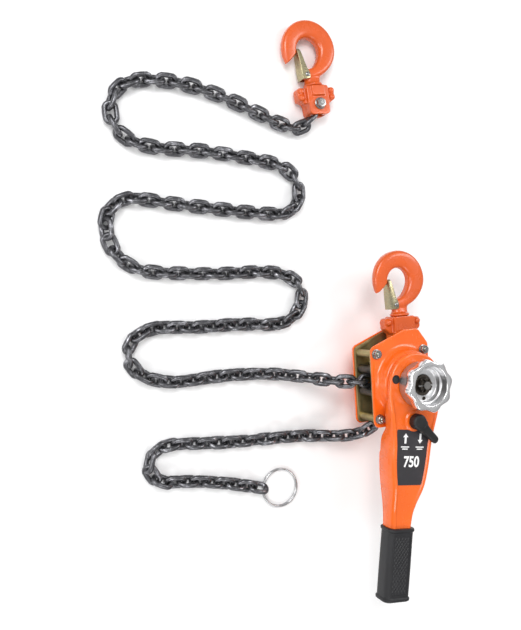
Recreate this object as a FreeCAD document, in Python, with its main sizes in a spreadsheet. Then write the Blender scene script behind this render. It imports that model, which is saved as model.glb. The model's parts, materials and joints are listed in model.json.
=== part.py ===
"""Come along winch: a 0.75 t lever chain hoist lying on its gear cover, with load chain and hooks.

Millimetres. The drive axis is +Z and the origin lies on it, at the gear cover's outer face.
+Y runs towards the top hook and +X to the right, seen from the handwheel.
"""
import FreeCAD, Part
import math
import os
import re
import Sketcher

V = FreeCAD.Vector
UP = V(0, 0, 1)

SIZES = {
    # frame: two side plates held apart by four stay bolts
    "plate_left": 50.5, "plate_right": 37.5, "plate_foot": 53.0, "plate_shoulder": 48.0,
    "roof_left": 1.0, "roof_right": 24.0, "roof_top": 68.0, "plate_corner": 7.0,
    "plate_wall": 3.5, "gear_plate_low": 39.5, "gap_width": 34.0,
    "stay_left": 44.0, "stay_right": 30.5, "stay_top": 41.0, "stay_foot": 43.5,
    "stay_dia": 10.0, "stay_thread": 6.0, "hole_play": 0.4,
    "washer_dia": 13.0, "washer_wall": 1.2, "nut_flats": 10.0, "nut_height": 5.0, "thread_out": 1.5,
    # pressed covers
    "cover_wall": 2.0, "cover_rim": 1.5,
    "gear_dome_dia": 49.0,
    "brake_dome_dia": 86.0, "brake_dome_height": 15.0, "brake_mouth_dia": 50.0,
    "boss_dia": 15.0, "boss_height": 6.0,
    # reduction gears
    "tooth_module": 1.5, "drive_teeth": 10, "disc_teeth": 26, "pinion_teeth": 12, "spline_teeth": 24,
    "gear_play": 0.25, "disc_gear_low": 9.0, "disc_gear_width": 7.0,
    "spline_gear_low": 19.0, "spline_gear_width": 14.0, "disc_journal_dia": 8.0,
    "journal_play": 0.2, "shaft_end_gap": 0.3,
    # sheave and chain
    "chain_wire": 6.0, "chain_pitch": 18.0, "chain_width": 20.4, "wrapped_pitch": 17.4,
    "sheave_dia": 56.0, "sheave_side_gap": 1.0, "hub_dia": 20.0, "hub_step_dia": 16.0,
    "pocket_play": 0.5, "shaft_dia": 11.0, "shaft_play": 0.5, "bearing_dia": 30.0,
    "snap_ring_wall": 1.2, "snap_ring_dia": 21.0,
    "guide_dia": 83.0, "guide_wall": 3.5, "guide_from": -95.0, "guide_to": 140.0,
    "roller_dia": 12.0, "roller_pin_dia": 5.0, "roller_x": 42.5, "chain_entry_y": 5.0,
    "roller_gap": 0.6, "roller_end_gap": 0.4,
    # brake on the drive shaft
    "brake_gap": 1.3, "brake_hub_dia": 48.0, "brake_hub_wall": 4.0, "brake_neck_dia": 20.0,
    "lining_dia": 46.0, "lining_wall": 2.5, "lining_play": 0.15,
    "ratchet_dia": 52.0, "ratchet_root": 46.0, "ratchet_wall": 4.0, "ratchet_teeth": 16,
    "change_flange_wall": 3.0, "change_flange_dia": 46.0, "change_gear_dia": 44.0,
    "change_gear_root": 38.0, "change_gear_teeth": 18, "change_neck_dia": 26.0, "neck_rise": 11.0,
    "thread_play": 0.1, "castle_flats": 17.0, "castle_height": 8.0, "castle_washer_dia": 24.0,
    "castle_washer_wall": 1.0, "shaft_thread_dia": 10.0, "split_pin_dia": 2.5, "split_pin_length": 21.0,
    # pawls of the ratchet disc
    "pawl_arm_x": 27.5, "pawl_arm_y": 20.0, "pawl_pin_dia": 5.0, "pawl_boss_dia": 10.0,
    "pawl_tip_gap": 0.35, "pawl_width": 5.0, "pawl_reach": 14.0, "pawl_lean": 76.0,
    # handwheel
    "wheel_gap": 1.5, "wheel_height": 24.5, "wheel_dia": 62.0, "lobe_dia": 17.0, "lobe_arm": 24.6,
    "bowl_dia": 50.0, "bowl_step_dia": 43.0, "bowl_depth": 14.0, "bowl_step_depth": 8.0,
    "wheel_floor": 3.0, "skirt_bore": 55.0, "wheel_hub_dia": 33.0, "wheel_play": 0.3,
    "spring_wire": 2.5, "spring_dia": 41.0, "spring_seat_gap": 0.3,
    # lever
    "lever_rest": -9.0, "lever_gap": 1.0, "head_depth": 7.5, "lever_wall": 2.0,
    "head_dia": 81.0, "arm_depth": 28.0, "step_start": 78.0, "step_end": 88.0,
    "slope_start": 128.0, "slope_end": 172.0, "arm_thinning": 8.0, "arm_tip": 282.0,
    "arm_half_a": 35.0, "arm_at_a": 48.0, "arm_half_b": 28.5, "arm_at_b": 105.0,
    "arm_half_c": 17.5, "arm_at_c": 165.0, "arm_half_d": 16.0, "lever_split": 2.5,
    "bush_wall": 2.0, "grip_start": 183.0, "grip_end": 286.0, "grip_width": 38.0,
    "grip_depth": 26.0, "grip_rim": 1.6, "grip_rim_length": 4.0, "grip_play": 0.15,
    "screw_dia": 4.0, "screw_head_dia": 8.0, "screw_head_wall": 1.8,
    "label_wall": 0.4, "label_top": 60.0, "label_foot": 130.0, "label_half": 26.0, "label_foot_half": 18.0,
    "label_cut": 22.0, "plug_dia": 8.5, "plug_x": -27.0, "plug_y": 9.0,
    # changeover knob
    "knob_arm": 47.5, "knob_dia": 20.0, "knob_gap": 2.2, "knob_height": 9.5, "knob_reach": 38.0,
    "knob_turn": -34.5, "knob_tip_dia": 9.0, "knob_shaft_dia": 7.0, "collar_wall": 1.8,
    "collar_dia": 25.0, "drive_pawl_gap": 0.4, "drive_pawl_wall": 3.0, "drive_pawl_width": 11.0,
    # suspension at each end: yoke, swivelling hook and latch
    "yoke_depth": 25.0, "yoke_width": 57.0, "yoke_waist": 38.0, "yoke_foot_dia": 34.0, "yoke_ear_low": 21.0,
    "yoke_ear_high": 4.0, "yoke_slot": 22.0, "yoke_pin_y": 25.0, "yoke_pin_dia": 9.0,
    "ear_rivet_x": 24.0, "ear_rivet_y": 12.0, "ear_rivet_dia": 6.0, "ear_depth": 14.0,
    "rivet_head_dia": 8.6, "rivet_head_wall": 1.8,
    "neck_dia": 15.0, "neck_button_dia": 23.0, "neck_button_wall": 5.0, "neck_length": 13.0,
    "neck_play": 0.3, "hook_collar_dia": 27.0, "hook_collar_wall": 5.0, "hook_collar_gap": 0.3,
    "hook_depth": 17.0, "hook_dia": 81.0, "hook_x": 0.8, "hook_y": 49.0,
    "bowl_x": -1.0, "bowl_y": 51.0, "hook_bowl_dia": 34.0, "hook_round": 5.0,
    "latch_x": -10.0, "latch_y": 15.0, "latch_pin_dia": 4.0, "latch_length": 33.0,
    "latch_wall": 1.5, "latch_play": 0.3, "latch_lug": 5.0, "latch_lean": 9.0,
    "top_x": 12.5, "top_y": 62.0, "top_turn": 0.0,
    "load_x": -71.6, "load_y": 378.3, "load_turn": 6.0,
    # tail end ring
    "ring_x": -155.1, "ring_y": -132.5, "ring_dia": 52.0, "ring_wire": 2.4,
}

# levels that follow from the sizes, as formulas in the same sheet
LEVELS = {
    "middle_height": "=gear_plate_low + plate_wall + gap_width / 2",
    "lever_back": "=gear_plate_low + 2 * plate_wall + gap_width + cover_wall + brake_dome_height + lever_gap",
    "lever_face": "=lever_back + head_depth",
    "arm_back": "=lever_face - arm_depth",
    "arm_thin_face": "=lever_face - arm_thinning",
    "wheel_low": "=lever_face + wheel_gap",
    "wheel_top": "=wheel_low + wheel_height",
    "change_neck_top": "=lever_face + neck_rise",
}
NAMED = {**SIZES, **LEVELS}

doc = FreeCAD.newDocument("ComeAlongWinch")
sheet = doc.addObject("Spreadsheet::Sheet", "Dims")
for row, (alias, value) in enumerate(NAMED.items(), 1):
    sheet.set("A%d" % row, alias)
    sheet.set("B%d" % row, str(value))
    sheet.setAlias("B%d" % row, alias)
doc.recompute()
ruler = doc.addObject("Part::Box", "ruler")

# Levels and places that follow from the sizes, as expressions on the sheet.
GEAR_PLATE_TOP = "(gear_plate_low + plate_wall)"
BRAKE_PLATE_LOW = "(%s + gap_width)" % GEAR_PLATE_TOP
BRAKE_PLATE_TOP = "(%s + plate_wall)" % BRAKE_PLATE_LOW
MIDDLE = "(%s + gap_width / 2)" % GEAR_PLATE_TOP
GEAR_FLANGE_LOW = "(gear_plate_low - cover_wall)"
BRAKE_FLANGE_TOP = "(%s + cover_wall)" % BRAKE_PLATE_TOP
BRAKE_DOME_TOP = "(%s + brake_dome_height)" % BRAKE_FLANGE_TOP
GEAR_ARM = "(tooth_module * (drive_teeth + disc_teeth) / 2)"
HUB_LOW = "(%s + brake_gap)" % BRAKE_PLATE_TOP
LINING_LOW = "(%s + brake_hub_wall)" % HUB_LOW
RATCHET_LOW = "(%s + lining_wall)" % LINING_LOW
LINING_HIGH = "(%s + ratchet_wall)" % RATCHET_LOW
CHANGE_LOW = "(%s + lining_wall)" % LINING_HIGH
CHANGE_FLANGE_TOP = "(%s + change_flange_wall)" % CHANGE_LOW
CASTLE_LOW = "(change_neck_top + castle_washer_wall)"
CASTLE_TOP = "(%s + castle_height)" % CASTLE_LOW
SHAFT_TOP = "(%s + 1.5)" % CASTLE_TOP
CHAIN_HALF = "((chain_wire + (chain_width - chain_wire) * sqrt(0.5)) / 2)"
PIN_SPLIT = "(%s - 2.2)" % CASTLE_TOP


def bind(text):
    """The expression with each size's name pointing at its cell."""
    return re.sub(r"[a-z_]+", lambda w: "Dims." + w[0] if w[0] in NAMED else w[0], str(text))


def num(text):
    """The expression's value now."""
    return float(ruler.evalExpression(bind(text)))


def tie(thing, **values):
    """Bind properties to expressions; Base_x stands for Placement.Base.x."""
    for name, text in values.items():
        path = "Placement." + name.replace("_", ".") if name.startswith("Base_") else name
        thing.setExpression(path, bind(text))


def origin_plane(body, role):
    return next(o for o in body.Origin.OriginFeatures if o.Role == role)


def new_body(name):
    body = doc.addObject("PartDesign::Body", name)
    body.Label = name
    return body


def new_sketch(body, role, level=0):
    sketch = body.newObject("Sketcher::SketchObject", body.Name + "_sketch")
    sketch.AttachmentSupport = [(origin_plane(body, role), "")]
    sketch.MapMode = "FlatFace"
    if role == "XY_Plane":
        sketch.setExpression("AttachmentOffset.Base.z", bind(level))
    return sketch


def fix(sketch, kind, *where_and_size):
    """Add one dimension whose value is an expression."""
    where, text = where_and_size[:-1], where_and_size[-1]
    at = sketch.addConstraint(Sketcher.Constraint(kind, *where, num(text)))
    sketch.setExpression("Constraints[%d]" % at, bind(text))


def draw_outline(sketch, points):
    """A closed outline of straight edges, each corner placed by two dimensions."""
    first = sketch.GeometryCount
    spots = [V(num(x), num(y), 0) for x, y in points]
    for start, end in zip(spots, spots[1:] + spots[:1]):
        sketch.addGeometry(Part.LineSegment(start, end))
    for i, (x, y) in enumerate(points):
        after = first + (i + 1) % len(points)
        sketch.addConstraint(Sketcher.Constraint("Coincident", first + i, 2, after, 1))
        fix(sketch, "DistanceX", -1, 1, first + i, 1, x)
        fix(sketch, "DistanceY", -1, 1, first + i, 1, y)


def draw_circle(sketch, x, y, dia):
    at = sketch.addGeometry(Part.Circle(V(num(x), num(y), 0), UP, num(dia) / 2))
    fix(sketch, "DistanceX", -1, 1, at, 3, x)
    fix(sketch, "DistanceY", -1, 1, at, 3, y)
    fix(sketch, "Diameter", at, dia)


def grow(body, sketch, length):
    pad = body.newObject("PartDesign::Pad", body.Name + "_pad")
    pad.Profile = sketch
    pad.setExpression("Length", bind(length))
    doc.recompute()
    return pad


def sink(body, sketch, depth):
    """Pocket upwards from the sketch; the volume shows that it cut."""
    before = body.Shape.Volume
    pocket = body.newObject("PartDesign::Pocket", body.Name + "_pocket")
    pocket.Profile = sketch
    pocket.Reversed = True
    pocket.setExpression("Length", bind(depth))
    doc.recompute()
    if body.Shape.Volume >= before:
        raise ValueError("%s: the pocket cuts nothing" % body.Label)
    return pocket


def round_edges(body, radius, wanted):
    """Fillet the edges of the body's last feature that wanted() picks."""
    base = body.Tip
    names = ["Edge%d" % (i + 1) for i, e in enumerate(base.Shape.Edges) if wanted(e)]
    fillet = body.newObject("PartDesign::Fillet", body.Name + "_fillet")
    fillet.Base = (base, names)
    fillet.setExpression("Radius", bind(radius))
    doc.recompute()
    return fillet


def is_upright(edge):
    box = edge.BoundBox
    return box.ZLength > 0.5 and box.XLength < 1e-4 and box.YLength < 1e-4


def pad_body(name, level, height, points=(), corner=None, circles=(), holes=()):
    """A flat piece: an outline or circles, raised, then holes through it."""
    body = new_body(name)
    sketch = new_sketch(body, "XY_Plane", level)
    if points:
        draw_outline(sketch, points)
    for circle in circles:
        draw_circle(sketch, *circle)
    grow(body, sketch, height)
    if corner:
        round_edges(body, corner, is_upright)
    if holes:
        cutter = new_sketch(body, "XY_Plane", level)
        for hole in holes:
            draw_circle(cutter, *hole)
        sink(body, cutter, height)
    return body


def turned_body(name, profile, x="0", y="0"):
    """A piece turned about an upright axis; the profile is (radius, height) corners."""
    body = new_body(name)
    sketch = new_sketch(body, "XZ_Plane")
    draw_outline(sketch, profile)
    turn = body.newObject("PartDesign::Revolution", name + "_turn")
    turn.Profile = sketch
    turn.ReferenceAxis = (sketch, ["V_Axis"])
    tie(body, Base_x=x, Base_y=y)
    doc.recompute()
    return body


def ring_body(name, inner_dia, outer_dia, low, height, x="0", y="0"):
    inner, outer = "(%s) / 2" % inner_dia, "(%s) / 2" % outer_dia
    top = "%s + %s" % (low, height)
    return turned_body(name, [(inner, low), (outer, low), (outer, top), (inner, top)], x, y)


def rod(name, dia, low, height, x="0", y="0"):
    piece = doc.addObject("Part::Cylinder", name)
    tie(piece, Radius="(%s) / 2" % dia, Height=height, Base_x=x, Base_y=y, Base_z=low)
    return piece


def block(name, size, corner):
    piece = doc.addObject("Part::Box", name)
    tie(piece, Length=size[0], Width=size[1], Height=size[2])
    tie(piece, Base_x=corner[0], Base_y=corner[1], Base_z=corner[2])
    return piece


def hexagon(name, flats, low, height, x="0", y="0"):
    piece = doc.addObject("Part::Prism", name)
    piece.Polygon = 6
    tie(piece, Circumradius="%s / sqrt(3)" % flats, Height=height, Base_x=x, Base_y=y, Base_z=low)
    return piece


def fuse(name, pieces):
    whole = doc.addObject("Part::MultiFuse", name)
    whole.Shapes = pieces
    return whole


def cut(name, base, tool):
    left = doc.addObject("Part::Cut", name)
    left.Base = base
    left.Tool = tool
    return left


def group(name, pieces):
    whole = doc.addObject("Part::Compound", name)
    whole.Links = pieces
    return whole


def shaped(name, shape, placement=None):
    """A piece whose form is made by the functions below."""
    piece = doc.addObject("Part::Feature", name)
    piece.Shape = shape
    if placement:
        piece.Placement = placement
    return piece


def moved(shape, placement):
    """The shape with the placement worked into its geometry."""
    return shape.transformed(placement.Matrix, True)


NODES = []


def node(piece, name=None):
    """Hand a finished piece over under its own name."""
    if name:
        piece.Label = name
    NODES.append(piece)
    return piece


STAYS = [("-stay_left", "stay_top"), ("stay_right", "stay_top"),
         ("-stay_left", "-stay_foot"), ("stay_right", "-stay_foot")]


def frame_outline(rim="0"):
    """The side plate's outline, grown by rim; the roof slopes to both sides."""
    return [("-plate_left - %s" % rim, "-plate_foot - %s" % rim),
            ("plate_right + %s" % rim, "-plate_foot - %s" % rim),
            ("plate_right + %s" % rim, "plate_shoulder + %s" % rim),
            ("roof_right", "roof_top + %s" % rim),
            ("roof_left", "roof_top + %s" % rim),
            ("-plate_left - %s" % rim, "plate_shoulder + %s" % rim)]


def stay_holes():
    return [(x, y, "stay_thread + hole_play") for x, y in STAYS]


ROLLERS = [("-roller_x", "chain_entry_y + %s + roller_gap + roller_dia / 2" % CHAIN_HALF),
           ("-roller_x", "chain_entry_y - %s - roller_gap - roller_dia / 2" % CHAIN_HALF)]


def make_plates():
    pins = [("top_x", "top_y", "yoke_pin_dia")]
    pins += [(x, y, "roller_pin_dia") for x, y in ROLLERS]
    bearing = [("0", "0", "bearing_dia")]
    discs = [("0", s + GEAR_ARM, "disc_journal_dia + journal_play") for s in ("", "-")]
    node(pad_body("gear_side_plate", "gear_plate_low", "plate_wall", frame_outline(), "plate_corner",
                  holes=stay_holes() + pins + bearing + discs))
    pawls = [(x, "pawl_arm_y", "pawl_pin_dia") for x in ("-pawl_arm_x", "pawl_arm_x")]
    node(pad_body("brake_side_plate", BRAKE_PLATE_LOW, "plate_wall", frame_outline(), "plate_corner",
                  holes=stay_holes() + pins + bearing + pawls))


def make_stays():
    bolts, washers, nuts = [], [], []
    foot = GEAR_FLANGE_LOW + " - washer_wall - nut_height - thread_out"
    head = BRAKE_FLANGE_TOP + " + washer_wall + nut_height + thread_out"
    for i, (x, y) in enumerate(STAYS):
        shank = rod("stay_shank_%d" % i, "stay_dia", GEAR_PLATE_TOP, "gap_width", x, y)
        thread = rod("stay_thread_%d" % i, "stay_thread", foot, head + " - (%s)" % foot, x, y)
        bolts.append(fuse("stay_%d" % i, [shank, thread]))
        seats = [(GEAR_FLANGE_LOW + " - washer_wall", GEAR_FLANGE_LOW + " - washer_wall - nut_height"),
                 (BRAKE_FLANGE_TOP, BRAKE_FLANGE_TOP + " + washer_wall")]
        for k, (washer_low, nut_low) in enumerate(seats):
            tag = "%d_%d" % (i, k)
            bore = rod("stay_bore_" + tag, "stay_thread + hole_play", foot, head + " - (%s)" % foot, x, y)
            disc = rod("washer_disc_" + tag, "washer_dia", washer_low, "washer_wall", x, y)
            washers.append(cut("washer_" + tag, disc, bore))
            body = hexagon("nut_hex_" + tag, "nut_flats", nut_low, "nut_height", x, y)
            nuts.append(cut("nut_" + tag, body, bore))
    node(group("stay_bolts", bolts))
    node(group("stay_washers", washers))
    node(group("stay_nuts", nuts))


def tub_form(name, dia, low, height):
    """A long round-ended form around the drive axis and both disc gears."""
    ends = [rod("%s_end_%d" % (name, i), dia, low, height, "0", side + GEAR_ARM)
            for i, side in enumerate(("", "-"))]
    middle = block(name + "_middle", [dia, "2 * " + GEAR_ARM, height], ["-(%s) / 2" % dia, "-" + GEAR_ARM, low])
    return fuse(name, ends + [middle])


def make_gear_cover():
    """A pressed tub around the reduction gears, with three bearing bosses in its floor."""
    flange = pad_body("gear_cover_flange", GEAR_FLANGE_LOW, "cover_wall", frame_outline("cover_rim"),
                      "plate_corner", holes=stay_holes())
    outer = tub_form("tub_outside", "gear_dome_dia", "0", GEAR_FLANGE_LOW)
    inner = tub_form("tub_inside", "(gear_dome_dia - 2 * cover_wall)", "cover_wall", "gear_plate_low - cover_wall")
    shell = cut("tub_shell", fuse("tub_solid", [flange, outer]), inner)
    seats = [("0", "shaft_dia"), (GEAR_ARM, "disc_journal_dia"), ("-" + GEAR_ARM, "disc_journal_dia")]
    bosses = [rod("tub_boss_%d" % i, "boss_dia", "cover_wall", "boss_height", "0", y)
              for i, (y, _) in enumerate(seats)]
    bores = [rod("tub_bore_%d" % i, dia + " + journal_play", "cover_wall", "boss_height", "0", y)
             for i, (y, dia) in enumerate(seats)]
    node(cut("gear_cover", fuse("tub_with_bosses", [shell] + bosses), fuse("tub_bores", bores)))


def make_brake_cover():
    """A pressed cover with a round drum over the brake, open in front for the change gear."""
    body = pad_body("brake_cover", BRAKE_PLATE_TOP, "cover_wall", frame_outline("cover_rim"), "plate_corner")
    drum = new_sketch(body, "XY_Plane", BRAKE_FLANGE_TOP)
    draw_circle(drum, "0", "0", "brake_dome_dia")
    grow(body, drum, "brake_dome_height")
    hollow = new_sketch(body, "XY_Plane", BRAKE_PLATE_TOP)
    draw_circle(hollow, "0", "0", "brake_dome_dia - 2 * cover_wall")
    sink(body, hollow, "brake_dome_height")
    mouth = new_sketch(body, "XY_Plane", BRAKE_DOME_TOP + " - cover_wall")
    draw_circle(mouth, "0", "0", "brake_mouth_dia")
    sink(body, mouth, "cover_wall")
    holes = new_sketch(body, "XY_Plane", BRAKE_PLATE_TOP)
    for hole in stay_holes():
        draw_circle(holes, *hole)
    sink(body, holes, "cover_wall")
    node(body)


def make_bearings():
    rings = [ring_body("bearing_%d" % i, "hub_dia + journal_play", "bearing_dia", low, "plate_wall")
             for i, low in enumerate(("gear_plate_low", BRAKE_PLATE_LOW))]
    node(group("hub_bearings", rings))


def make_suspension_pin():
    """The headed pin through both plates that carries the top yoke."""
    low, high = "gear_plate_low", BRAKE_PLATE_TOP
    pin = rod("suspension_rod", "yoke_pin_dia", low, "%s - %s" % (high, low), "top_x", "top_y")
    node(pin, "suspension_pin")


def make_chain_guide():
    """A curved wall between the plates that keeps the chain in the sheave's pockets."""
    inner = num("guide_dia") / 2 - num("guide_wall")
    outer = num("guide_dia") / 2
    low, high = num(GEAR_PLATE_TOP), num(BRAKE_PLATE_LOW)
    section = Part.makePolygon([V(inner, 0, low), V(outer, 0, low), V(outer, 0, high), V(inner, 0, high),
                                V(inner, 0, low)])
    face = Part.Face(section)
    face.rotate(V(), UP, num("guide_from"))
    node(shaped("chain_guide", face.revolve(V(), UP, num("guide_to - guide_from"))))


def make_guide_rollers():
    pins = []
    for i, (x, y) in enumerate(ROLLERS):
        low = GEAR_PLATE_TOP + " + roller_end_gap"
        node(ring_body("guide_roller_%s" % "ab"[i], "roller_pin_dia + journal_play", "roller_dia", low,
                       "gap_width - 2 * roller_end_gap", x, y))
        pins.append(rod("roller_pin_%d" % i, "roller_pin_dia", "gear_plate_low",
                        "gap_width + 2 * plate_wall", x, y))
    node(group("guide_roller_pins", pins))


def toothed(teeth, root, pitch_radius, tip, root_part, pitch_part, tip_part, low, width, turn=0.0):
    """A straight gear: each tooth covers the given parts of the pitch at root, pitch line and tip."""
    step = 2 * math.pi / teeth
    points = []
    for i in range(int(teeth)):
        middle = i * step + math.radians(turn)
        sides = [(root, -root_part), (pitch_radius, -pitch_part), (tip, -tip_part),
                 (tip, tip_part), (pitch_radius, pitch_part), (root, root_part)]
        for radius, part in sides:
            angle = middle + part * step / 2
            points.append(V(radius * math.cos(angle), radius * math.sin(angle), low))
    return Part.Face(Part.makePolygon(points + points[:1])).extrude(V(0, 0, width))


def spur(teeth, low, width, turn=0.0):
    """A reduction gear of the shared module."""
    module = num("tooth_module")
    pitch_radius = teeth * module / 2
    play = num("gear_play") / (math.pi * module)
    return toothed(teeth, pitch_radius - 1.2 * module, pitch_radius, pitch_radius + 0.75 * module,
                   0.72 - play, 0.5 - play, 0.24, low, width, turn)


def bored(shape, dia, low, high, x=0.0, y=0.0):
    return shape.cut(Part.makeCylinder(dia / 2, high - low, V(x, y, low)))


def make_disc_gears():
    """Two stepped gears that take the drive pinion's turn to the spline gear."""
    arm, radius = num(GEAR_ARM), num("disc_journal_dia") / 2
    disc_low, disc_width = num("disc_gear_low"), num("disc_gear_width")
    pinion_low, pinion_width = num("spline_gear_low"), num("spline_gear_width")
    foot, head = num("cover_wall + shaft_end_gap"), num(GEAR_PLATE_TOP + " - shaft_end_gap")
    for name, side in (("disc_gear_upper", 1), ("disc_gear_lower", -1)):
        teeth, small = num("disc_teeth"), num("pinion_teeth")
        facing = -90.0 * side
        disc = spur(teeth, disc_low, disc_width, facing + 180.0 / teeth)
        pinion = spur(small, disc_low + disc_width, pinion_low + pinion_width - disc_low - disc_width,
                      facing + 180.0 / small)
        journal = Part.makeCylinder(radius, head - foot, V(0, 0, foot))
        whole = disc.fuse([pinion, journal]).removeSplitter()
        node(shaped(name, whole, FreeCAD.Placement(V(0, side * arm, 0), FreeCAD.Rotation())))


def make_spline_gear():
    low, width = num("spline_gear_low"), num("spline_gear_width")
    teeth = num("spline_teeth")
    gear = spur(teeth, low, width, 90.0)
    node(shaped("spline_gear", bored(gear, num("hub_step_dia + thread_play"), low, low + width)))
    node(ring_body("snap_ring", "hub_step_dia + thread_play", "snap_ring_dia",
                   "spline_gear_low - thread_play - snap_ring_wall", "snap_ring_wall"))


def link(wire, pitch, width):
    """One welded link along X, flat in the XY plane."""
    bend = (width - wire) / 2
    half = (pitch + wire) / 2 - bend
    section = Part.Wire(Part.makeCircle(wire / 2, V(-half, bend, 0), V(1, 0, 0)))
    edges = [Part.LineSegment(V(-half, bend, 0), V(half, bend, 0)).toShape(),
             Part.Arc(V(half, bend, 0), V(half + bend, 0, 0), V(half, -bend, 0)).toShape(),
             Part.LineSegment(V(half, -bend, 0), V(-half, -bend, 0)).toShape(),
             Part.Arc(V(-half, -bend, 0), V(-half - bend, 0, 0), V(-half, bend, 0)).toShape()]
    return Part.Wire(edges).makePipeShell([section], True, True)


def chain_link():
    return link(num("chain_wire"), num("chain_pitch"), num("chain_width"))


WRAPPED = range(-2, 5)


def wrap_radius():
    """From the axis to the middle of a link, with eight links to the turn."""
    return num("wrapped_pitch") / (2 * math.tan(math.pi / 8))


def make_wrapped_chain():
    """The links on the sheave: flat ones in its pockets, upright ones in its groove."""
    links = []
    for i in WRAPPED:
        shape = chain_link()
        if i % 2 == 0:
            shape.rotate(V(), V(1, 0, 0), 90)
        shape.rotate(V(), UP, 90)
        shape.translate(V(wrap_radius(), 0, num(MIDDLE)))
        shape.rotate(V(), UP, 45 * i)
        links.append(shape)
    node(shaped("wrapped_chain", Part.makeCompound(links)))


def make_load_sheave():
    """The pocket wheel on its hub: four pockets for flat links and a groove for upright ones."""
    gap = num("sheave_side_gap")
    low, high = num(GEAR_PLATE_TOP) + gap, num(BRAKE_PLATE_LOW) - gap
    hub_low, hub_high = num("spline_gear_low + spline_gear_width"), num(BRAKE_PLATE_TOP)
    hub = num("hub_dia") / 2
    step_low = num("spline_gear_low - 2 * snap_ring_wall - 2 * thread_play")
    wheel = Part.makeCylinder(num("sheave_dia") / 2, high - low, V(0, 0, low))
    wheel = wheel.fuse([Part.makeCylinder(hub, hub_high - hub_low, V(0, 0, hub_low)),
                        Part.makeCylinder(num("hub_step_dia") / 2, hub_low - step_low, V(0, 0, step_low))])
    play, wire, width = num("pocket_play"), num("chain_wire"), num("chain_width")
    middle = num(MIDDLE)
    groove_floor = wrap_radius() - width / 2 - play
    groove = Part.makeCylinder(hub + 60, wire + 2 * play, V(0, 0, middle - wire / 2 - play))
    groove = bored(groove, 2 * groove_floor, low, high)
    length = num("chain_pitch") + 2 * wire + 2 * play
    tools = [groove]
    for i in range(4):
        pocket = Part.makeBox(60, length, width + 2 * play,
                              V(wrap_radius() - wire / 2 - play, -length / 2, middle - width / 2 - play))
        pocket.rotate(V(), UP, 90 * i)
        tools.append(pocket)
    wheel = wheel.cut(tools)
    wheel = bored(wheel, num("shaft_dia + 2 * shaft_play"), step_low - 1, hub_high + 1)
    node(shaped("load_sheave", wheel))


def make_drive_shaft():
    """The long shaft through everything: pinion teeth below, thread and nut above."""
    foot, top = num("cover_wall + shaft_end_gap"), num(SHAFT_TOP)
    neck = num("change_neck_top - 12")
    shaft = Part.makeCylinder(num("shaft_dia") / 2, neck - foot, V(0, 0, foot))
    thread = Part.makeCylinder(num("shaft_thread_dia") / 2, top - neck, V(0, 0, neck))
    pinion = spur(num("drive_teeth"), num("disc_gear_low"), num("disc_gear_width"), 90.0)
    hole = Part.makeCylinder(num("split_pin_dia + hole_play") / 2, 40, V(-20, 0, num(PIN_SPLIT)), V(1, 0, 0))
    node(shaped("drive_shaft", shaft.fuse([thread, pinion]).cut(hole)))


def make_brake():
    neck = "brake_neck_dia / 2"
    bore = "(shaft_dia + thread_play) / 2"
    top = "change_neck_top - 0.5"
    node(turned_body("brake_hub", [(bore, HUB_LOW), ("brake_hub_dia / 2", HUB_LOW),
                                   ("brake_hub_dia / 2", LINING_LOW), (neck, LINING_LOW),
                                   (neck, top), (bore, top)]))
    inner = "brake_neck_dia + 2 * journal_play"
    lows = [LINING_LOW, LINING_HIGH + " + lining_play"]
    linings = [ring_body("lining_%d" % i, inner, "lining_dia", low, "lining_wall - lining_play")
               for i, low in enumerate(lows)]
    node(group("friction_discs", linings))


def hooked_wheel(teeth, root, tip, low, width):
    """A wheel of saw teeth, steep on one side."""
    step = 2 * math.pi / teeth
    points = []
    for i in range(int(teeth)):
        for radius, part in ((root, 0.06), (tip, 0.16), (tip, 0.3)):
            angle = (i + part) * step
            points.append(V(radius * math.cos(angle), radius * math.sin(angle), low))
    return Part.Face(Part.makePolygon(points + points[:1])).extrude(V(0, 0, width))


def make_ratchet():
    low, width = num(RATCHET_LOW), num("ratchet_wall")
    wheel = hooked_wheel(num("ratchet_teeth"), num("ratchet_root") / 2, num("ratchet_dia") / 2, low, width)
    node(shaped("ratchet_disc", bored(wheel, num("brake_neck_dia + 3 * journal_play"), low, low + width)))


def make_pawls():
    """Two pawls on pins in the brake side plate, their noses just clear of the teeth."""
    low, width = num(RATCHET_LOW), num("ratchet_wall")
    pins, springs = [], []
    pin_top = LINING_HIGH + " + lining_wall - 0.5"
    for name, side in (("pawl_left", -1), ("pawl_right", 1)):
        x, y = side * num("pawl_arm_x"), num("pawl_arm_y")
        pawl = Part.makeCylinder(num("pawl_boss_dia") / 2, width, V(x, y, low))
        arm = Part.makeBox(num("pawl_width"), num("pawl_reach"), width, V(x - num("pawl_width") / 2, y, low))
        arm.rotate(V(x, y, low), UP, side * num("pawl_lean"))
        clear = Part.makeCylinder(num("ratchet_dia") / 2 + num("pawl_tip_gap"), width, V(0, 0, low))
        pawl = bored(pawl.fuse(arm).cut(clear), num("pawl_pin_dia + journal_play"), low, low + width, x, y)
        node(shaped(name, pawl.removeSplitter()))
        at = "pawl_arm_x * %d" % side
        pins.append(rod(name + "_rod", "pawl_pin_dia", BRAKE_PLATE_LOW,
                        "%s - %s" % (pin_top, BRAKE_PLATE_LOW), at, "pawl_arm_y"))
        coil_low = BRAKE_PLATE_TOP + " + journal_play"
        height = "%s - %s - 2 * journal_play" % (RATCHET_LOW, BRAKE_PLATE_TOP)
        outer = rod(name + "_coil", "pawl_boss_dia - 1", coil_low, height, at, "pawl_arm_y")
        inner = rod(name + "_coil_bore", "pawl_pin_dia + journal_play", coil_low, height, at, "pawl_arm_y")
        springs.append(cut(name + "_spring", outer, inner))
    node(group("pawl_pins", pins))
    node(group("pawl_springs", springs))


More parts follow.
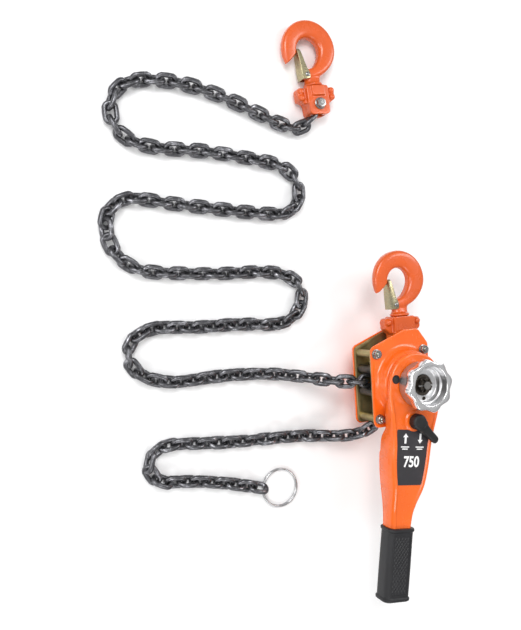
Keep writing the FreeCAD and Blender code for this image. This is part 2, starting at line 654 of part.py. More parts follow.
def make_change_gear():
    """The toothed nut on the brake hub's thread, turned by the lever's pawl or the handwheel."""
    low, flange_top = num(CHANGE_LOW), num(CHANGE_FLANGE_TOP)
    teeth_top, top = num("lever_face - lever_wall - 0.4"), num("change_neck_top")
    flange = Part.makeCylinder(num("change_flange_dia") / 2, flange_top - low, V(0, 0, low))
    gear = toothed(num("change_gear_teeth"), num("change_gear_root") / 2,
                   num("change_gear_root + change_gear_dia") / 4, num("change_gear_dia") / 2,
                   0.6, 0.5, 0.35, flange_top, teeth_top - flange_top)
    neck = Part.makeCylinder(num("change_neck_dia") / 2, top - flange_top, V(0, 0, flange_top))
    whole = flange.fuse([gear, neck])
    node(shaped("change_gear", bored(whole, num("brake_neck_dia + 2 * thread_play"), low, top)))


def make_castle_nut():
    node(ring_body("castle_washer", "shaft_thread_dia + hole_play", "castle_washer_dia", "change_neck_top",
                   "castle_washer_wall"))
    blank = hexagon("castle_blank", "castle_flats", CASTLE_LOW, "castle_height")
    bore = rod("castle_bore", "shaft_thread_dia + hole_play", CASTLE_LOW, "castle_height + 1")
    tools = [bore]
    for i in range(3):
        slot = doc.addObject("Part::Box", "castle_slot_%d" % i)
        turn = 60 * i
        long, half = "castle_flats * 0.7", "(split_pin_dia + hole_play) / 2"
        tie(slot, Length="2 * " + long, Width="2 * " + half, Height="castle_height",
            Base_x="-%s * cos(%d deg) + %s * sin(%d deg)" % (long, turn, half, turn),
            Base_y="-%s * sin(%d deg) - %s * cos(%d deg)" % (long, turn, half, turn),
            Base_z="%s - %s" % (PIN_SPLIT, half))
        slot.Placement.Rotation = FreeCAD.Rotation(UP, turn)
        tools.append(slot)
    node(cut("castle_nut", blank, fuse("castle_tools", tools)))
    pin = rod("split_pin", "split_pin_dia", PIN_SPLIT, "split_pin_length", "-split_pin_length / 2")
    pin.Placement.Rotation = FreeCAD.Rotation(V(0, 1, 0), 90)
    node(pin)


def make_handwheel():
    """A lobed wheel with a stepped bowl in front and a skirt behind."""
    body = new_body("handwheel")
    disc = new_sketch(body, "XY_Plane", "wheel_low")
    draw_circle(disc, "0", "0", "wheel_dia")
    grow(body, disc, "wheel_top - wheel_low")
    lobe = new_sketch(body, "XY_Plane", "wheel_low")
    draw_circle(lobe, "lobe_arm", "0", "lobe_dia")
    lobe_pad = grow(body, lobe, "wheel_top - wheel_low")
    lobes = body.newObject("PartDesign::PolarPattern", "handwheel_lobes")
    lobes.Originals = [lobe_pad]
    lobes.Axis = (disc, ["N_Axis"])
    lobes.Angle = 360
    lobes.Occurrences = 8
    body.Tip = lobes
    doc.recompute()
    floor_top = "wheel_top - bowl_depth"
    steps = [(floor_top, "bowl_step_dia", "bowl_depth"),
             ("wheel_top - bowl_step_depth", "bowl_dia", "bowl_step_depth")]
    for level, dia, depth in steps:
        bowl = new_sketch(body, "XY_Plane", level)
        draw_circle(bowl, "0", "0", dia)
        sink(body, bowl, depth)
    bore = new_sketch(body, "XY_Plane", "wheel_low")
    draw_circle(bore, "0", "0", "change_neck_dia + 2 * wheel_play")
    sink(body, bore, "wheel_top - wheel_low")
    skirt = new_sketch(body, "XY_Plane", "wheel_low")
    draw_circle(skirt, "0", "0", "skirt_bore")
    draw_circle(skirt, "0", "0", "wheel_hub_dia")
    sink(body, skirt, "wheel_top - bowl_depth - wheel_floor - wheel_low")
    node(body)


def make_wheel_spring():
    """The release spring behind the handwheel's floor, as a stack of turns on its washer."""
    foot = "(lever_face + spring_seat_gap)"
    low = foot + " + castle_washer_wall"
    turns = [ring_body("spring_washer", "wheel_hub_dia + 4 * journal_play", "spring_dia + 2 * spring_wire",
                       foot, "castle_washer_wall")]
    for i in range(3):
        turn = doc.addObject("Part::Torus", "spring_turn_%d" % i)
        tie(turn, Radius1="spring_dia / 2", Radius2="spring_wire / 2",
            Base_z="%s + spring_wire / 2 + %d * (spring_wire * 0.98)" % (low, i))
        turns.append(turn)
    node(group("handwheel_spring", turns))


def lever_place(piece):
    """Swing a piece that is drawn along -Y to the lever's rest angle."""
    piece.Placement = FreeCAD.Placement(V(), FreeCAD.Rotation(UP, num("lever_rest")))
    return piece


def lever_plan(inset, low, high):
    """The lever seen from the front: round head and a tapering arm."""
    head = Part.makeCylinder(num("head_dia") / 2 - inset, high - low, V(0, 0, low))
    widths = [(num("head_dia") / 2, 12.0), (num("arm_half_a"), num("arm_at_a")),
              (num("arm_half_b"), num("arm_at_b")), (num("arm_half_c"), num("arm_at_c")),
              (num("arm_half_d"), num("arm_tip"))]
    right = [V(w - inset, min(-y, inset - num("arm_tip")) if y > num("arm_tip") - 1 else -y, low)
             for w, y in widths]
    left = [V(-p.x, p.y, p.z) for p in reversed(right)]
    arm = Part.Face(Part.makePolygon(right + left + right[:1])).extrude(V(0, 0, high - low))
    return head.fuse(arm).removeSplitter()


def lever_side(inset):
    """The lever seen from its edge: a thin head, then a deep arm that thins to the grip."""
    back, face = num("lever_back") + inset, num("lever_face") - inset
    deep, thin = num("arm_back") + inset, num("arm_thin_face") - inset
    half = num("head_dia")
    shape = [(half, back), (-num("step_start") - inset, back), (-num("step_end") - inset, deep),
             (-num("arm_tip") + inset, deep), (-num("arm_tip") + inset, thin),
             (-num("slope_end"), thin), (-num("slope_start"), face), (half, face)]
    points = [V(-half, y, z) for y, z in shape]
    return Part.Face(Part.makePolygon(points + points[:1])).extrude(V(2 * half, 0, 0))


def lever_solid(inset):
    low, high = num("arm_back") - 1, num("lever_face") + 1
    return lever_plan(inset, low, high).common(lever_side(inset))


def make_lever():
    """Two pressed shells: the front one is a tray, the back one closes it."""
    wall = num("lever_wall")
    shell = lever_solid(0).cut(lever_solid(wall))
    low, high = num("arm_back"), num("lever_face")
    end = -num("arm_tip") - 1
    split = num("lever_split")
    half = num("head_dia")
    back_side = [(half, num("lever_back") - 1), (half, num("lever_back") + split),
                 (-num("step_start"), num("lever_back") + split), (-num("step_end"), num("arm_back") + split),
                 (end, num("arm_back") + split), (end, low - 1), (-num("step_start"), low - 1)]
    points = [V(-half, yy, zz) for yy, zz in back_side]
    behind = Part.Face(Part.makePolygon(points + points[:1])).extrude(V(2 * half, 0, 0))
    front, back = shell.cut(behind), shell.common(behind)
    bush_bore = num("change_neck_dia + 2 * journal_play + 2 * bush_wall")
    front = bored(front, bush_bore, high - wall, high)
    knob_y = -num("knob_arm")
    collar = Part.makeCylinder(num("collar_dia") / 2, num("collar_wall"), V(0, knob_y, high))
    front = front.fuse(collar)
    front = bored(front, num("knob_shaft_dia + journal_play"), high - wall, high + 9, 0, knob_y)
    back = bored(back, num("change_gear_dia + 2"), num("lever_back"), num("lever_back") + wall)
    back = bored(back, num("knob_shaft_dia + journal_play"), num("lever_back"), high - wall, 0, knob_y)
    plug = FreeCAD.Rotation(UP, -num("lever_rest")).multVec(V(num("plug_x"), num("plug_y"), 0))
    front = bored(front, num("plug_dia - 2"), high - wall, high, plug.x, plug.y)
    for sx, sy in lever_screw_spots():
        back = bored(back, num("screw_dia + hole_play"), low - 1, num("lever_back") + wall, sx, sy)
    node(lever_place(shaped("lever_front_shell", front.removeSplitter())))
    node(lever_place(shaped("lever_back_shell", back.removeSplitter())))
    bush = Part.makeCylinder(bush_bore / 2 - 0.05, wall, V(0, 0, high - wall))
    bush = bored(bush, num("change_neck_dia + 2 * journal_play"), high - wall, high)
    node(lever_place(shaped("lever_bush", bush)))
    stopper = Part.makeCylinder(num("plug_dia") / 2, 0.8, V(plug.x, plug.y, high))
    stem = Part.makeCylinder(num("plug_dia - 2.4") / 2, wall, V(plug.x, plug.y, high - wall))
    node(lever_place(shaped("inspection_plug", stopper.fuse(stem))))


def lever_screw_spots():
    return [(-29.0, -12.0), (29.0, -12.0), (-22.0, -100.0), (22.0, -100.0), (0.0, 31.0)]


def make_lever_screws():
    """Screws through both shells: flush in the thin head, with proud heads on the deep arm."""
    screws = []
    top, radius = num("lever_face - lever_wall"), num("screw_dia") / 2
    for x, y in lever_screw_spots():
        on_arm = y < -num("step_end")
        seat = num("arm_back") if on_arm else num("lever_back")
        screw = Part.makeCylinder(radius, top - seat, V(x, y, seat))
        if on_arm:
            wall = num("screw_head_wall")
            screw = screw.fuse(Part.makeCylinder(num("screw_head_dia") / 2, wall, V(x, y, seat - wall)))
        screws.append(screw)
    node(lever_place(shaped("lever_screws", Part.makeCompound(screws))))


def make_label():
    top, foot = -num("label_top"), -num("label_foot")
    half, foot_half, rise = num("label_half"), num("label_foot_half"), num("label_cut")
    face = num("lever_face")
    right = [V(half, top, face), V(half, foot + rise, face), V(foot_half, foot, face)]
    left = [V(-p.x, p.y, p.z) for p in reversed(right)]
    plate = Part.Face(Part.makePolygon(right + left + right[:1])).extrude(V(0, 0, num("label_wall")))
    node(lever_place(shaped("label_plate", plate)))


def make_grip():
    """A rubber sleeve with a rim at each end, closed at the tip."""
    body = new_body("grip")
    middle = "(arm_back + arm_thin_face) / 2"
    for start, end, rim in (("grip_start", "grip_end", "0"),
                            ("grip_start", "grip_start + grip_rim_length", "grip_rim"),
                            ("grip_end - grip_rim_length", "grip_end", "grip_rim")):
        sleeve = new_sketch(body, "XY_Plane", "%s - grip_depth / 2 - %s" % (middle, rim))
        half = "grip_width / 2 + %s" % rim
        draw_outline(sleeve, [("-(%s)" % half, "-(%s)" % end), (half, "-(%s)" % end),
                              (half, "-(%s)" % start), ("-(%s)" % half, "-(%s)" % start)])
        grow(body, sleeve, "grip_depth + 2 * %s" % rim)
    hollow = new_sketch(body, "XY_Plane", "arm_back - grip_play")
    half = "arm_half_c + grip_play"
    draw_outline(hollow, [("-(%s)" % half, "-(arm_tip + grip_play)"), (half, "-(arm_tip + grip_play)"),
                          (half, "-(grip_start - 1)"), ("-(%s)" % half, "-(grip_start - 1)")])
    sink(body, hollow, "arm_thin_face - arm_back + 2 * grip_play")
    body.Placement = FreeCAD.Placement(V(), FreeCAD.Rotation(UP, num("lever_rest")))
    node(body)


def make_knob():
    """The changeover knob with its pointer, on a shaft that carries the drive pawl."""
    face = num("lever_face")
    low = face + num("knob_gap")
    reach, height = num("knob_reach"), num("knob_height")
    hub = Part.makeCylinder(num("knob_dia") / 2, height, V(0, 0, low))
    tip = num("knob_tip_dia") / 2
    root = num("knob_dia") / 2 - 1.5
    points = [V(0, root, low + 1), V(reach - tip, tip, low + 1), V(reach - tip, -tip, low + 1),
              V(0, -root, low + 1)]
    arm = Part.Face(Part.makePolygon(points + points[:1])).extrude(V(0, 0, height - 2.5))
    end = Part.makeCylinder(tip, height - 2.5, V(reach - tip, 0, low + 1))
    knob = hub.fuse([arm, end]).removeSplitter()
    shaft_low = num("lever_back + 0.3")
    shaft = Part.makeCylinder(num("knob_shaft_dia") / 2, low + height / 2 - shaft_low, V(0, 0, shaft_low))
    knob = bored(knob, num("knob_shaft_dia"), low, low + height / 2)
    knob = bored(knob, 3.2, low, low + height)
    shaft = bored(shaft, 3.2, low - 4, low + height)
    screw = Part.makeCylinder(1.55, height + 4, V(0, 0, low - 4))
    screw = screw.fuse(Part.makeCylinder(3.2, 1.6, V(0, 0, low + height)))
    reach_in = num("knob_arm") - num("change_gear_dia") / 2 - num("drive_pawl_gap")
    wide = num("drive_pawl_width") / 2
    pawl_low = num("lever_back + lever_wall + 0.4")
    disc = Part.makeCylinder(reach_in, num("drive_pawl_wall"), V(0, 0, pawl_low))
    bar = Part.makeBox(60, 2 * wide, 20, V(-30, -wide, pawl_low - 5))
    pawl = bored(disc.common(bar), num("knob_shaft_dia"), pawl_low, pawl_low + 9)
    pawl = moved(pawl, FreeCAD.Placement(V(), FreeCAD.Rotation(UP, 90 - num("knob_turn"))))
    turn = FreeCAD.Rotation(UP, num("lever_rest"))
    centre = turn.multVec(V(0, -num("knob_arm"), 0))
    place = FreeCAD.Placement(centre, FreeCAD.Rotation(UP, num("lever_rest + knob_turn")))
    node(shaped("changeover_knob", knob, place))
    node(shaped("knob_shaft", shaft, place))
    node(shaped("knob_screw", screw, place))
    node(shaped("drive_pawl", pawl, place))


class Suspension:
    """A yoke of two forged halves with a swivelling hook and its sprung latch.

    Its own frame has the yoke pin on the origin and +Y towards the hook.
    """

    def __init__(self, prefix, x, y, turn, height):
        self.prefix = prefix
        self.place = FreeCAD.Placement(V(num(x), num(y), num(height)), FreeCAD.Rotation(UP, num(turn)))

    def add(self, name, shape):
        node(shaped("%s_%s" % (self.prefix, name), shape, self.place))

    def plane_solid(self, points, low, high):
        corners = [V(x, y, low) for x, y in points]
        return Part.Face(Part.makePolygon(corners + corners[:1])).extrude(V(0, 0, high - low))

    def make_yoke(self, pin_bore):
        half, wide, waist = num("yoke_depth") / 2, num("yoke_width") / 2, num("yoke_waist") / 2
        top = num("yoke_pin_y")
        ear_low, ear_high = top - num("yoke_ear_low"), top - num("yoke_ear_high")
        ear = num("ear_depth") / 2
        foot = num("yoke_foot_dia") / 2
        core = self.plane_solid([(-foot, 0), (foot, 0), (waist, 5), (waist, top - 3), (waist - 3, top),
                                 (-waist + 3, top), (-waist, top - 3), (-waist, 5)], -half, half)
        core = core.fuse(Part.makeCylinder(foot, 2 * half, V(0, 0, -half)))
        ears = self.plane_solid([(-waist, ear_low - 4), (-wide + 3, ear_low), (-wide, ear_low + 4),
                                 (-wide, ear_high - 4), (-wide + 4, ear_high), (wide - 4, ear_high),
                                 (wide, ear_high - 4), (wide, ear_low + 4), (wide - 3, ear_low),
                                 (waist, ear_low - 4)], -ear, ear)
        play = num("neck_play")
        button = num("neck_button_wall") + 2 * play
        neck_low = top - num("neck_length") - play
        neck = Part.makeCylinder(num("neck_dia") / 2 + play, num("neck_length") + 5, V(0, neck_low, 0),
                                 V(0, 1, 0))
        seat = Part.makeCylinder(num("neck_button_dia") / 2 + play, button, V(0, neck_low, 0), V(0, 1, 0))
        width, long = num("chain_wire") + 2.4, num("yoke_slot")
        end = neck_low - 2.5
        slot = Part.makeBox(width, 60, long, V(-width / 2, end - 60, -long / 2))
        slot = slot.fuse(Part.makeBox(long, 60, width, V(-long / 2, end - 60, -width / 2)))
        tools = [neck, seat, slot, Part.makeCylinder(pin_bore / 2, 2 * half, V(0, 0, -half))]
        for side in (-1, 1):
            tools.append(Part.makeCylinder(num("ear_rivet_dia") / 2, 2 * half,
                                           V(side * num("ear_rivet_x"), top - num("ear_rivet_y"), -half)))
        yoke = core.fuse(ears).removeSplitter().cut(tools)
        far = Part.makeBox(200, 200, 100, V(-100, -100, 0))
        near = Part.makeBox(200, 200, 100, V(-100, -100, -100))
        self.add("yoke_halves", Part.makeCompound([yoke.common(far), yoke.common(near)]))
        self.make_rivets(top - num("ear_rivet_y"), ear)

    def make_rivets(self, y, ear):
        rivets = []
        for side in (-1, 1):
            x = side * num("ear_rivet_x")
            wall = num("rivet_head_wall")
            shank = Part.makeCylinder(num("ear_rivet_dia") / 2, 2 * ear, V(x, y, -ear))
            heads = [Part.makeCylinder(num("rivet_head_dia") / 2, wall, V(x, y, z)) for z in (-ear - wall, ear)]
            rivets.append(shank.fuse(heads).removeSplitter())
        self.add("yoke_rivets", Part.makeCompound(rivets))

    def make_hook(self):
        """A forged hook: a thick crescent on a collar and a necked, buttoned shank."""
        base = num("yoke_pin_y + hook_collar_gap")
        half = num("hook_depth") / 2
        crescent = Part.makeCylinder(num("hook_dia") / 2, 2 * half, V(num("hook_x"), base + num("hook_y"), -half))
        bowl_x, bowl_y = num("bowl_x"), base + num("bowl_y")
        bowl = Part.makeCylinder(num("hook_bowl_dia") / 2, 2 * half, V(bowl_x, bowl_y, -half))
        shank = self.plane_solid([(-13.5, base), (13.5, base), (19, base + 20), (2, base + 23), (-15, base + 20),
                                  (-15, base + 10)], -half, half)
        throat = self.plane_solid([(-16.5, bowl_y - 1), (-39, base + 33), (-70, base + 20), (-70, base - 20),
                                   (-20, base - 20), (-15.2, base + 20.5), (2, base + 23.5),
                                   (2, bowl_y - 12)], -half, half)
        body = crescent.cut([bowl, throat]).fuse(shank).removeSplitter()
        body = self.rounded(body, half)
        collar = Part.makeCylinder(num("hook_collar_dia") / 2, num("hook_collar_wall"), V(0, base, 0), V(0, 1, 0))
        neck_low = num("yoke_pin_y - neck_length")
        neck = Part.makeCylinder(num("neck_dia") / 2, base - neck_low + 1, V(0, neck_low, 0), V(0, 1, 0))
        button = Part.makeCylinder(num("neck_button_dia") / 2, num("neck_button_wall"), V(0, neck_low, 0),
                                   V(0, 1, 0))
        hook = body.fuse([collar, neck, button]).removeSplitter()
        lug = num("latch_lug") / 2
        at = V(num("latch_x"), base + num("latch_y"), -half)
        slot = Part.makeBox(12, 16, 2 * lug, V(at.x - 7, at.y - 5.5, -lug))
        pin = Part.makeCylinder(num("latch_pin_dia") / 2, 2 * half, at)
        self.add("hook", hook.cut([slot, pin]))

    def rounded(self, body, half):
        """Round the crescent's long edges, by as much as the forging allows."""
        edges = [e for e in body.Edges
                 if abs(abs(e.BoundBox.ZMin) - half) < 1e-3 and e.BoundBox.ZLength < 1e-3 and e.Length > 30]
        return body.makeFillet(min(num("hook_round"), half - 1), edges)

    def make_latch(self):
        """A bent sheet latch that straddles the hook, with its pin and spring."""
        base = num("yoke_pin_y + hook_collar_gap")
        half = num("hook_depth") / 2 + num("latch_play")
        wall, length = num("latch_wall"), num("latch_length")
        outer = half + wall
        cheeks = []
        for low in (-outer, half):
            cheek = self.plane_solid([(-4.5, -4), (4.5, -4), (4.5, 5), (0.5, length - 8), (-4.5, length - 2)],
                                     low, low + wall)
            cheeks.append(cheek)
        web = self.plane_solid([(-4.5, 9.5), (-3.0, 9.5), (-3.0, length), (-4.5, length)], -outer, outer)
        latch = cheeks[0].fuse([cheeks[1], web]).removeSplitter()
        pin_dia = num("latch_pin_dia")
        latch = bored(latch, pin_dia + 0.2, -outer - 1, outer + 1)
        at = V(num("latch_x"), base + num("latch_y"), 0)
        latch = moved(latch, FreeCAD.Placement(at, FreeCAD.Rotation(UP, num("latch_lean"))))
        self.add("latch", latch)
        pin = Part.makeCylinder(pin_dia / 2, 2 * outer + 2, V(at.x, at.y, -outer - 1))
        heads = [Part.makeCylinder(pin_dia * 0.8, 1, V(at.x, at.y, z)) for z in (-outer - 1.2, outer + 0.2)]
        self.add("latch_pin", pin.fuse(heads).removeSplitter())
        lug = num("latch_lug") / 2 - 0.2
        coil = Part.makeCylinder(pin_dia / 2 + 1.6, 2 * lug, V(at.x, at.y, -lug))
        self.add("latch_spring", bored(coil, pin_dia + 0.1, -lug, lug, at.x, at.y))

    def make_all(self, pin_bore):
        self.make_yoke(pin_bore)
        self.make_hook()
        self.make_latch()


def make_load_pin(load):
    """The pin across the load yoke that holds the chain's last link."""
    half = num("yoke_depth") / 2
    dia = num("yoke_pin_dia")
    pin = Part.makeCylinder(dia / 2, 2 * half, V(0, 0, -half))
    load.add("chain_pin", pin)


def make_end_ring():
    """A split ring of two turns of wire."""
    wire, radius = num("ring_wire") / 2, num("ring_dia - ring_wire") / 2
    turns = [Part.makeTorus(radius, wire, V(0, 0, wire + 2 * wire * i)) for i in range(2)]
    node(shaped("end_ring", Part.makeCompound(turns),
                FreeCAD.Placement(V(num("ring_x"), num("ring_y"), 0), FreeCAD.Rotation())))


# The chain lies in open rows. Each point is a place on its middle line; the two given heights
# are those of the load yoke and of the gap between the plates.
LIE = num(CHAIN_HALF)
MID = num(MIDDLE)
LOAD_ROUTE = [(-80.4, 363.0, 12.5), (-88.1, 349.7, 12.5), (-108, 346, LIE), (-144, 359, LIE), (-196, 380, LIE),
              (-250, 395, LIE), (-301, 398, LIE), (-337, 389, LIE), (-353, 359, LIE), (-341, 326, LIE),
              (-303, 313, LIE), (-242, 313, LIE), (-178, 306, LIE), (-118, 296, LIE), (-99, 263, LIE),
              (-116, 231, LIE), (-174, 234, LIE), (-238, 241, LIE), (-294, 247, LIE), (-340, 255, LIE),
              (-366, 232, LIE), (-362, 193, LIE), (-333, 164, LIE), (-278, 159, LIE), (-216, 156, LIE),
              (-151, 158, LIE), (-109, 142, LIE), (-108, 108, LIE), (-136, 84, LIE), (-200, 91, LIE),
              (-260, 90, LIE), (-321, 96, LIE), (-350, 75, LIE), (-343, 41, LIE), (-299, 23, LIE),
              (-238, 27, LIE), (-177, 24, LIE), (-136, 18, 12), (-104, 11, 30), (-79, 6.5, 50),
              (-58, 5, 59), (-38, 5, MID)]
TAIL_ROUTE = [(-19, -33, MID), (-29.3, -47.2, MID), (-41, -61, 54), (-58, -70, 36), (-80, -71, 19),
              (-112, -67, 9), (-155, -64, LIE), (-215, -61, LIE), (-270, -55, LIE), (-312, -50, LIE),
              (-334, -67, LIE), (-325, -96, LIE), (-281, -100.5, LIE), (-235, -111, LIE),
              (-207, -119.5, LIE), (-181.6, -127.3, LIE)]


def chain_tube(name, points):
    """The chain's outer form: straight runs joined by tangent arcs as large as the runs allow."""
    radius = LIE
    corners = [V(*p) for p in points]
    edges, radii, start = [], [], corners[0]
    for before, here, after in zip(corners, corners[1:], corners[2:]):
        run_in, run_out = (before - here), (after - here)
        reach = 0.45 * min(run_in.Length, run_out.Length)
        way_in, way_out = V(run_in).normalize(), V(run_out).normalize()
        turn = math.pi - way_in.getAngle(way_out)
        radii.append(reach / math.tan(turn / 2))
        enter, leave = here + way_in * reach, here + way_out * reach
        bisect = (way_in + way_out).normalize()
        centre_gap = math.hypot(radii[-1], reach)
        middle = here + bisect * (centre_gap - radii[-1])
        edges += [Part.LineSegment(start, enter).toShape(), Part.Arc(enter, middle, leave).toShape()]
        start = leave
    edges.append(Part.LineSegment(start, corners[-1]).toShape())
    path = Part.Wire(edges)
    section = Part.Wire(Part.makeCircle(radius, corners[0], corners[1] - corners[0]))
    tube = path.makePipeShell([section], True, True)
    share = tube.Volume / (math.pi * radius ** 2 * path.Length)
    print("%s: length %.0f, least radius %.0f, volume share %.4f" % (name, path.Length, min(radii), share))
    node(shaped(name, tube))


def finish():
    doc.recompute()
    faults = [o.Label for o in doc.Objects if {"Invalid", "Error"} & set(o.State)]
    faults += [p.Label for p in NODES if p.Shape.isNull() or not p.Shape.isValid()]
    if faults:
        raise ValueError("these did not build: %s" % faults)
    os.makedirs("parts", exist_ok=True)
    for piece in NODES:
        piece.Shape.exportStep("parts/%s.step" % piece.Label)
    print(len(NODES), "nodes")


def main():
    make_plates()
    make_stays()
    make_gear_cover()
    make_brake_cover()
    make_bearings()
    make_suspension_pin()
    make_chain_guide()
    make_guide_rollers()
    make_disc_gears()
    make_spline_gear()
    make_wrapped_chain()
    make_load_sheave()
    make_drive_shaft()
    make_brake()
    make_ratchet()
    make_pawls()
    make_change_gear()
    make_castle_nut()
    make_handwheel()
    make_wheel_spring()
    make_lever()
    make_lever_screws()
    make_label()
    make_grip()
    make_knob()
    top = Suspension("top", "top_x", "top_y", "top_turn", "middle_height")
    top.make_all(num("yoke_pin_dia + journal_play"))
    load = Suspension("load", "load_x", "load_y", "load_turn", "yoke_depth / 2")
    load.make_all(num("yoke_pin_dia"))
    make_load_pin(load)
    make_end_ring()
    chain_tube("load_chain", LOAD_ROUTE)
    chain_tube("tail_chain", TAIL_ROUTE)
    finish()


main()
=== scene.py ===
"""Come along winch: the visible model of a 0.75 t lever chain hoist, laid out as an add-on.

The drive axis is +Z through the origin, the lever points down -Y, and the hoist lies on its gear
cover. Forms are drawn in millimetres and become metres in their mesh.
"""
import json
import math

import bmesh
import bpy
from mathutils import Matrix, Vector


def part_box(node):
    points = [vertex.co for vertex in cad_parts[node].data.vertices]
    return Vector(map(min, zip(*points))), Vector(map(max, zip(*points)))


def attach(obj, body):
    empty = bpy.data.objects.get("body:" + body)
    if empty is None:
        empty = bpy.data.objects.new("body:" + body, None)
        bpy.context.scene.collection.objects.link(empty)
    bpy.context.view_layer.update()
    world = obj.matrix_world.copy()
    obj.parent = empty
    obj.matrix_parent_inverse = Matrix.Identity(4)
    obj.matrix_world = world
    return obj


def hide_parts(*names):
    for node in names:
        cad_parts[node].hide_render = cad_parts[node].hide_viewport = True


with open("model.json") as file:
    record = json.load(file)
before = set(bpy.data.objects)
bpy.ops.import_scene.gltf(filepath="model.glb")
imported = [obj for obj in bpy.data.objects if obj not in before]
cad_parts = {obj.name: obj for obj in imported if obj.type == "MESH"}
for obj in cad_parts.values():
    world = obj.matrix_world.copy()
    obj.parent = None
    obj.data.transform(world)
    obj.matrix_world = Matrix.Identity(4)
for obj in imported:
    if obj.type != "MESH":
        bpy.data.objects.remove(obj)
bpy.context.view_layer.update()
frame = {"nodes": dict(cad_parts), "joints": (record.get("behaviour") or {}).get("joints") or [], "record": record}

bl_info = {
    "name": "Come Along Winch",
    "version": (1, 0, 0),
    "blender": (4, 5, 0),
    "location": "View3D > Sidebar > Winch",
    "description": "Builds the pieces, finishes and stage of a lever chain hoist",
    "category": "Object",
}

MM = 0.001

# Middle lines of the two loose chains, in millimetres: each from where it leaves the body. A point
# without a height lies on the floor, at CHAIN_LIE.
CHAIN_LIE = 8.09
LOAD_ROUTE = [(-38, 5, 60), (-58, 5, 59), (-79, 6.5, 50), (-104, 11, 30), (-136, 18, 12),
              (-177, 24), (-238, 27), (-299, 23), (-343, 41), (-350, 75), (-321, 96), (-260, 90),
              (-200, 91), (-136, 84), (-108, 108), (-109, 142), (-151, 158), (-216, 156),
              (-278, 159), (-333, 164), (-362, 193), (-366, 232), (-340, 255), (-294, 247),
              (-238, 241), (-174, 234), (-116, 231), (-99, 263), (-118, 296), (-178, 306),
              (-242, 313), (-303, 313), (-341, 326), (-353, 359), (-337, 389), (-301, 398),
              (-250, 395), (-196, 380), (-144, 359), (-108, 346), (-88.1, 349.7, 12.5),
              (-80.4, 363, 12.5)]
TAIL_ROUTE = [(-19, -33, 60), (-29.3, -47.2, 60), (-41, -61, 54), (-58, -70, 36), (-80, -71, 19),
              (-112, -67, 9), (-155, -64), (-215, -61), (-270, -55), (-312, -50), (-334, -67),
              (-325, -96), (-281, -100.5), (-235, -111), (-207, -119.5), (-181.6, -127.3)]


# ---------------------------------------------------------------- sizes and colours

def length(name, default, description):
    return bpy.props.FloatProperty(name=name, description=description, default=default,
                                   unit="LENGTH", precision=4)


def angle(name, degrees, description):
    return bpy.props.FloatProperty(name=name, description=description,
                                   default=math.radians(degrees), unit="ROTATION")


def share(name, default, description):
    return bpy.props.FloatProperty(name=name, description=description, default=default,
                                   min=0.0, max=1.0, subtype="FACTOR")


def colour(name, default, description):
    return bpy.props.FloatVectorProperty(name=name, description=description, default=default,
                                         size=3, min=0.0, max=1.0, subtype="COLOR")


class WinchColours(bpy.types.PropertyGroup):
    orange: colour("Body orange", (0.90, 0.142, 0.011), "Enamel on the pressed covers and lever")
    forging: colour("Forging orange", (0.68, 0.102, 0.014), "Enamel on the hooks and yokes")
    passivate: colour("Yellow passivate", (0.50, 0.41, 0.20), "Plating on the side plates")
    latch: colour("Latch passivate", (0.47, 0.41, 0.24), "Plating on the hook latches")
    zinc: colour("Bright zinc", (0.34, 0.34, 0.335), "Plating on nuts and washers")
    chain: colour("Chain steel", (0.125, 0.125, 0.134), "Oxide on the load chain")
    gear: colour("Gear steel", (0.30, 0.29, 0.28), "Oiled steel inside the hoist")
    chrome: colour("Chrome", (0.84, 0.84, 0.85), "Plating on the handwheel")
    rubber: colour("Rubber", (0.010, 0.010, 0.012), "Grip sleeve")
    plastic: colour("Plastic", (0.008, 0.008, 0.009), "Changeover knob")
    film: colour("Label film", (0.030, 0.028, 0.032), "Label on the lever")
    print: colour("Label print", (0.90, 0.90, 0.90), "Arrows and numerals")


class WinchChainSizes(bpy.types.PropertyGroup):
    wire: length("Wire", 0.0064, "Wire diameter of a link")
    pitch: length("Pitch", 0.0174, "Inside length of a link")
    width: length("Width", 0.0204, "Outside width of a link")
    step: length("Slack step", 0.0159, "From link to link where the chain lies slack")
    lean: angle("Lean", 38.0, "Roll of every second link from flat on a straight run")
    lift: length("Lift", 0.0008, "Rise of the leaning links over the route")
    play: angle("Play", 8.0, "Random roll of each link to either side")
    kink: share("Kink", 0.50, "Where along the load chain one link is flipped over")
    load_length: length("Load chain", 1.82, "Free length of the load chain")
    tail_length: length("Tail chain", 0.52, "Free length of the tail chain")


class WinchFormSizes(bpy.types.PropertyGroup):
    lever_turn: angle("Lever rest", -9.0, "Turn of the lever about the drive axis")
    knob_turn: angle("Knob rest", -37.0, "Turn of the knob's pointer against the lever")
    load_turn: angle("Load end", 6.0, "Turn of the load hook's yoke on the floor")
    latch_lean: angle("Latch lean", 3.0, "Lean of each latch towards its hook's point")
    lobe_turn: angle("Lobe turn", 8.0, "Turn of the handwheel's first lobe")
    lobe_rise: length("Lobe rise", 0.0017, "Height of the handwheel's lobes about their mean")
    plate_bevel: length("Plate edge", 0.0006, "Rounding of the side plates")
    grid: length("Forging grid", 0.0008, "Grid on which forged shapes are blended")


class WinchStageSizes(bpy.types.PropertyGroup):
    floor: length("Floor", 6.0, "Half width of the floor")
    sky: share("Sky", 0.9, "Strength of the surrounding light")


GROUPS = {"winch_colours": WinchColours, "winch_chain": WinchChainSizes,
          "winch_forms": WinchFormSizes, "winch_stage": WinchStageSizes}


# ---------------------------------------------------------------- node trees

def operator(operation, turned=False):
    """A method of Wire that adds one Math node; turned puts the other value first."""
    def apply(self, other=0.0):
        values = (other, self) if turned else (self, other)
        return self.tree.node("ShaderNodeMath", {"operation": operation}, dict(enumerate(values)))
    return apply


